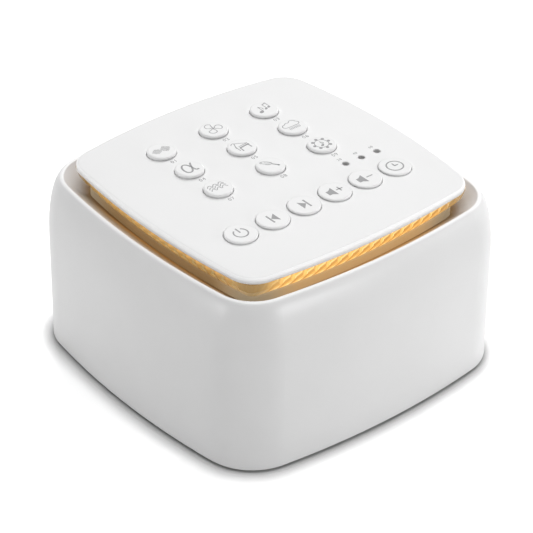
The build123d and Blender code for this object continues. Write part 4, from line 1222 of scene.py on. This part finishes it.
@dataclass
class RingLight:
    """The glowing ring: lights, strip, prisms and the diffuser at the funnel's foot."""

    paints: Paints
    lamp_inset: float = 12.2        # of each lamp from the housing's side
    lamp_height: float = 47.9
    lamp_length: float = 66.0
    lamp_width: float = 1.2
    lamp_power: float = 0.00012     # watts
    lamp_colour: str = "FFBC68"
    lamp_rise: float = 0.15         # how far each looks up for each millimetre outwards

    def build(self) -> None:
        """Dress the ring and light the funnel."""
        self.paints.dress(RING_PRISM, "prism_ring")
        self.paints.dress(RING_DIFFUSER, "diffuser_band")
        self.paints.dress(RING_CHIP, "ring_leds")
        self.paints.dress(STRIP_FILM, "light_strip")
        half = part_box("outer_shell")[1].x * MM_PER_METRE
        for side in range(4):
            self.lamp(side, half - self.lamp_inset)

    def lamp(self, side: int, reach: float) -> None:
        """Add one long lamp that shines outwards from the diffuser onto the funnel.

        Args:
            side: Which of the four sides, anticlockwise from the right.
            reach: How far out it stands from the middle.
        """
        turn = Matrix.Rotation(math.radians(90 * side), 4, "Z")
        outwards = turn @ Vector((1, 0, self.lamp_rise))
        data = bpy.data.lights.new(f"ring_lamp_{side}", "AREA")
        data.shape = "RECTANGLE"
        data.size, data.size_y = metres(self.lamp_length, self.lamp_width)
        data.energy = self.lamp_power
        data.color = linear(self.lamp_colour)[:3]
        lamp = bpy.data.objects.new(data.name, data)
        bpy.context.collection.objects.link(lamp)
        lamp.location = turn @ Vector(metres(reach, 0, self.lamp_height))
        lamp.rotation_euler = outwards.to_track_quat("-Z", "Y").to_euler()
        lamp.visible_camera = False
        LOG.info("lit %s", lamp.name)


@dataclass
class Electronics:
    """The boards, the sockets and the wiring."""

    paints: Paints

    def build(self) -> None:
        """Dress the boards and what is on them."""
        self.paints.dress(BOARD_MASK, "key_board", "main_board")
        self.paints.dress(SWITCH_PLASTIC, "switch_bases")
        self.paints.dress(SOCKET_PLASTIC, "headphone_jack")
        self.paints.dress(INLET_STEEL, "power_inlet", "card_socket")
        self.paints.dress(RIBBON_SLEEVE, "ribbon_cable")
        self.paints.dress(LEAD_SLEEVE, "speaker_leads")


@dataclass
class Loudspeaker:
    """The speaker that fires down through the base."""

    paints: Paints

    def build(self) -> None:
        """Dress the speaker's pieces."""
        self.paints.dress(BASKET_PAINT, "speaker_basket")
        self.paints.dress(FERRITE, "speaker_magnet")
        self.paints.dress(SCREW_STEEL, "speaker_yoke")
        self.paints.dress(CONE_PAPER, "speaker_cone", "dust_cap")
        self.paints.dress(COIL_WIRE, "voice_coil")
        self.paints.dress(SURROUND_RUBBER, "speaker_surround")
        self.paints.dress(SPIDER_CLOTH, "speaker_spider")


# ---------------------------------------------------------------- studio

@dataclass(frozen=True)
class Softbox:
    """A square studio lamp that faces the object."""

    name: str
    place: tuple[float, float, float]   # metres
    size: float                         # metres
    power: float                        # watts


@dataclass
class Studio:
    """A pale floor, soft light and the camera."""

    focal_length: float = 167.83
    azimuth: float = -39.893            # degrees; 0 is the front and negative is to the left
    elevation: float = 33.593
    roll: float = 0.646
    distance: float = 729.0
    target: tuple[float, float, float] = (7.10, 9.44, 17.76)
    sensor_width: float = 36.0
    clip: Point = (0.01, 50.0)          # metres
    floor_width: float = 8000.0
    sky: float = 0.029                  # the light that it sheds; where it is seen it is white
    lamps: tuple[Softbox, ...] = (
        Softbox("top_lamp", (0.0, 0.0, 1.2), 1.2, 7.3),
        Softbox("overhead_lamp", (0.0, 0.0, 1.4), 0.3, 1.9),
        Softbox("back_lamp", (0.72, 0.86, 1.0), 0.6, 5.4),
        Softbox("back_right_lamp", (1.15, 0.25, 0.9), 0.6, 3.5),
        Softbox("right_lamp", (1.1, -0.7, 0.3), 0.6, 3.0),
        Softbox("low_right_lamp", (0.35, -1.2, 0.16), 0.3, 4.4),
        Softbox("low_left_lamp", (-1.2, 0.25, 0.16), 0.3, 3.7),
    )

    def build(self) -> None:
        """Set up the camera, the floor, the sky and the lamps."""
        self.add_camera()
        self.add_floor()
        self.add_sky()
        for lamp in self.lamps:
            self.add_lamp(lamp)
        bpy.context.scene.view_settings.view_transform = "Standard"

    def add_camera(self) -> None:
        """Aim the camera at the object from the front left."""
        azimuth, elevation = math.radians(self.azimuth), math.radians(self.elevation)
        back = Vector((math.sin(azimuth) * math.cos(elevation), -math.cos(azimuth) * math.cos(elevation),
                       math.sin(elevation)))
        data = bpy.data.cameras.new("camera")
        data.lens = self.focal_length
        data.sensor_width = self.sensor_width
        data.clip_start, data.clip_end = self.clip
        camera = bpy.data.objects.new("camera", data)
        bpy.context.collection.objects.link(camera)
        camera.location = Vector(metres(*self.target)) + back * metres(self.distance)
        turn = back.to_track_quat("Z", "Y") @ Quaternion((0, 0, 1), math.radians(self.roll))
        camera.rotation_euler = turn.to_euler()
        bpy.context.scene.camera = camera

    def add_floor(self) -> None:
        """Lay a pale floor that keeps the object's shadow."""
        deselect()
        bpy.ops.mesh.primitive_plane_add(size=metres(self.floor_width))
        floor = bpy.context.object
        floor.name = "floor"
        floor.data.materials.append(FLOOR_PAPER.build())

    def add_sky(self) -> None:
        """Light the scene evenly, with white behind it for the camera, gloss and glass."""
        world = bpy.data.worlds.new("studio")
        bpy.context.scene.world = world
        world.use_nodes = True
        tree = world.node_tree
        tree.nodes.clear()
        strength = add_node(tree, "MapRange", None, {"Value": seen_directly(tree), "To Min": self.sky, "To Max": 1.0})
        sky = add_node(tree, "Background", None, {"Color": WHITE, "Strength": strength})
        add_node(tree, "OutputWorld", None, {"Surface": sky})

    def add_lamp(self, softbox: Softbox) -> None:
        """Hang one softbox and turn it to the object.

        Args:
            softbox: The softbox.
        """
        data = bpy.data.lights.new(softbox.name, "AREA")
        data.shape = "SQUARE"
        data.size = softbox.size
        data.energy = softbox.power
        lamp = bpy.data.objects.new(softbox.name, data)
        bpy.context.collection.objects.link(lamp)
        lamp.location = softbox.place
        lamp.rotation_euler = Vector(softbox.place).to_track_quat("Z", "Y").to_euler()


def main() -> None:
    """Build every sub-assembly in order."""
    logging.basicConfig(level=logging.INFO, format="%(name)s: %(message)s")
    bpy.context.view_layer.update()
    paints, printer = Paints(), Printer()
    Studio().build()
    Housing(paints).build()
    KeyPlate(paints, printer).build()
    KeyMarks(paints, printer).build()
    RingLight(paints).build()
    Electronics(paints).build()
    Loudspeaker(paints).build()


if __name__ == "__main__":
    main()
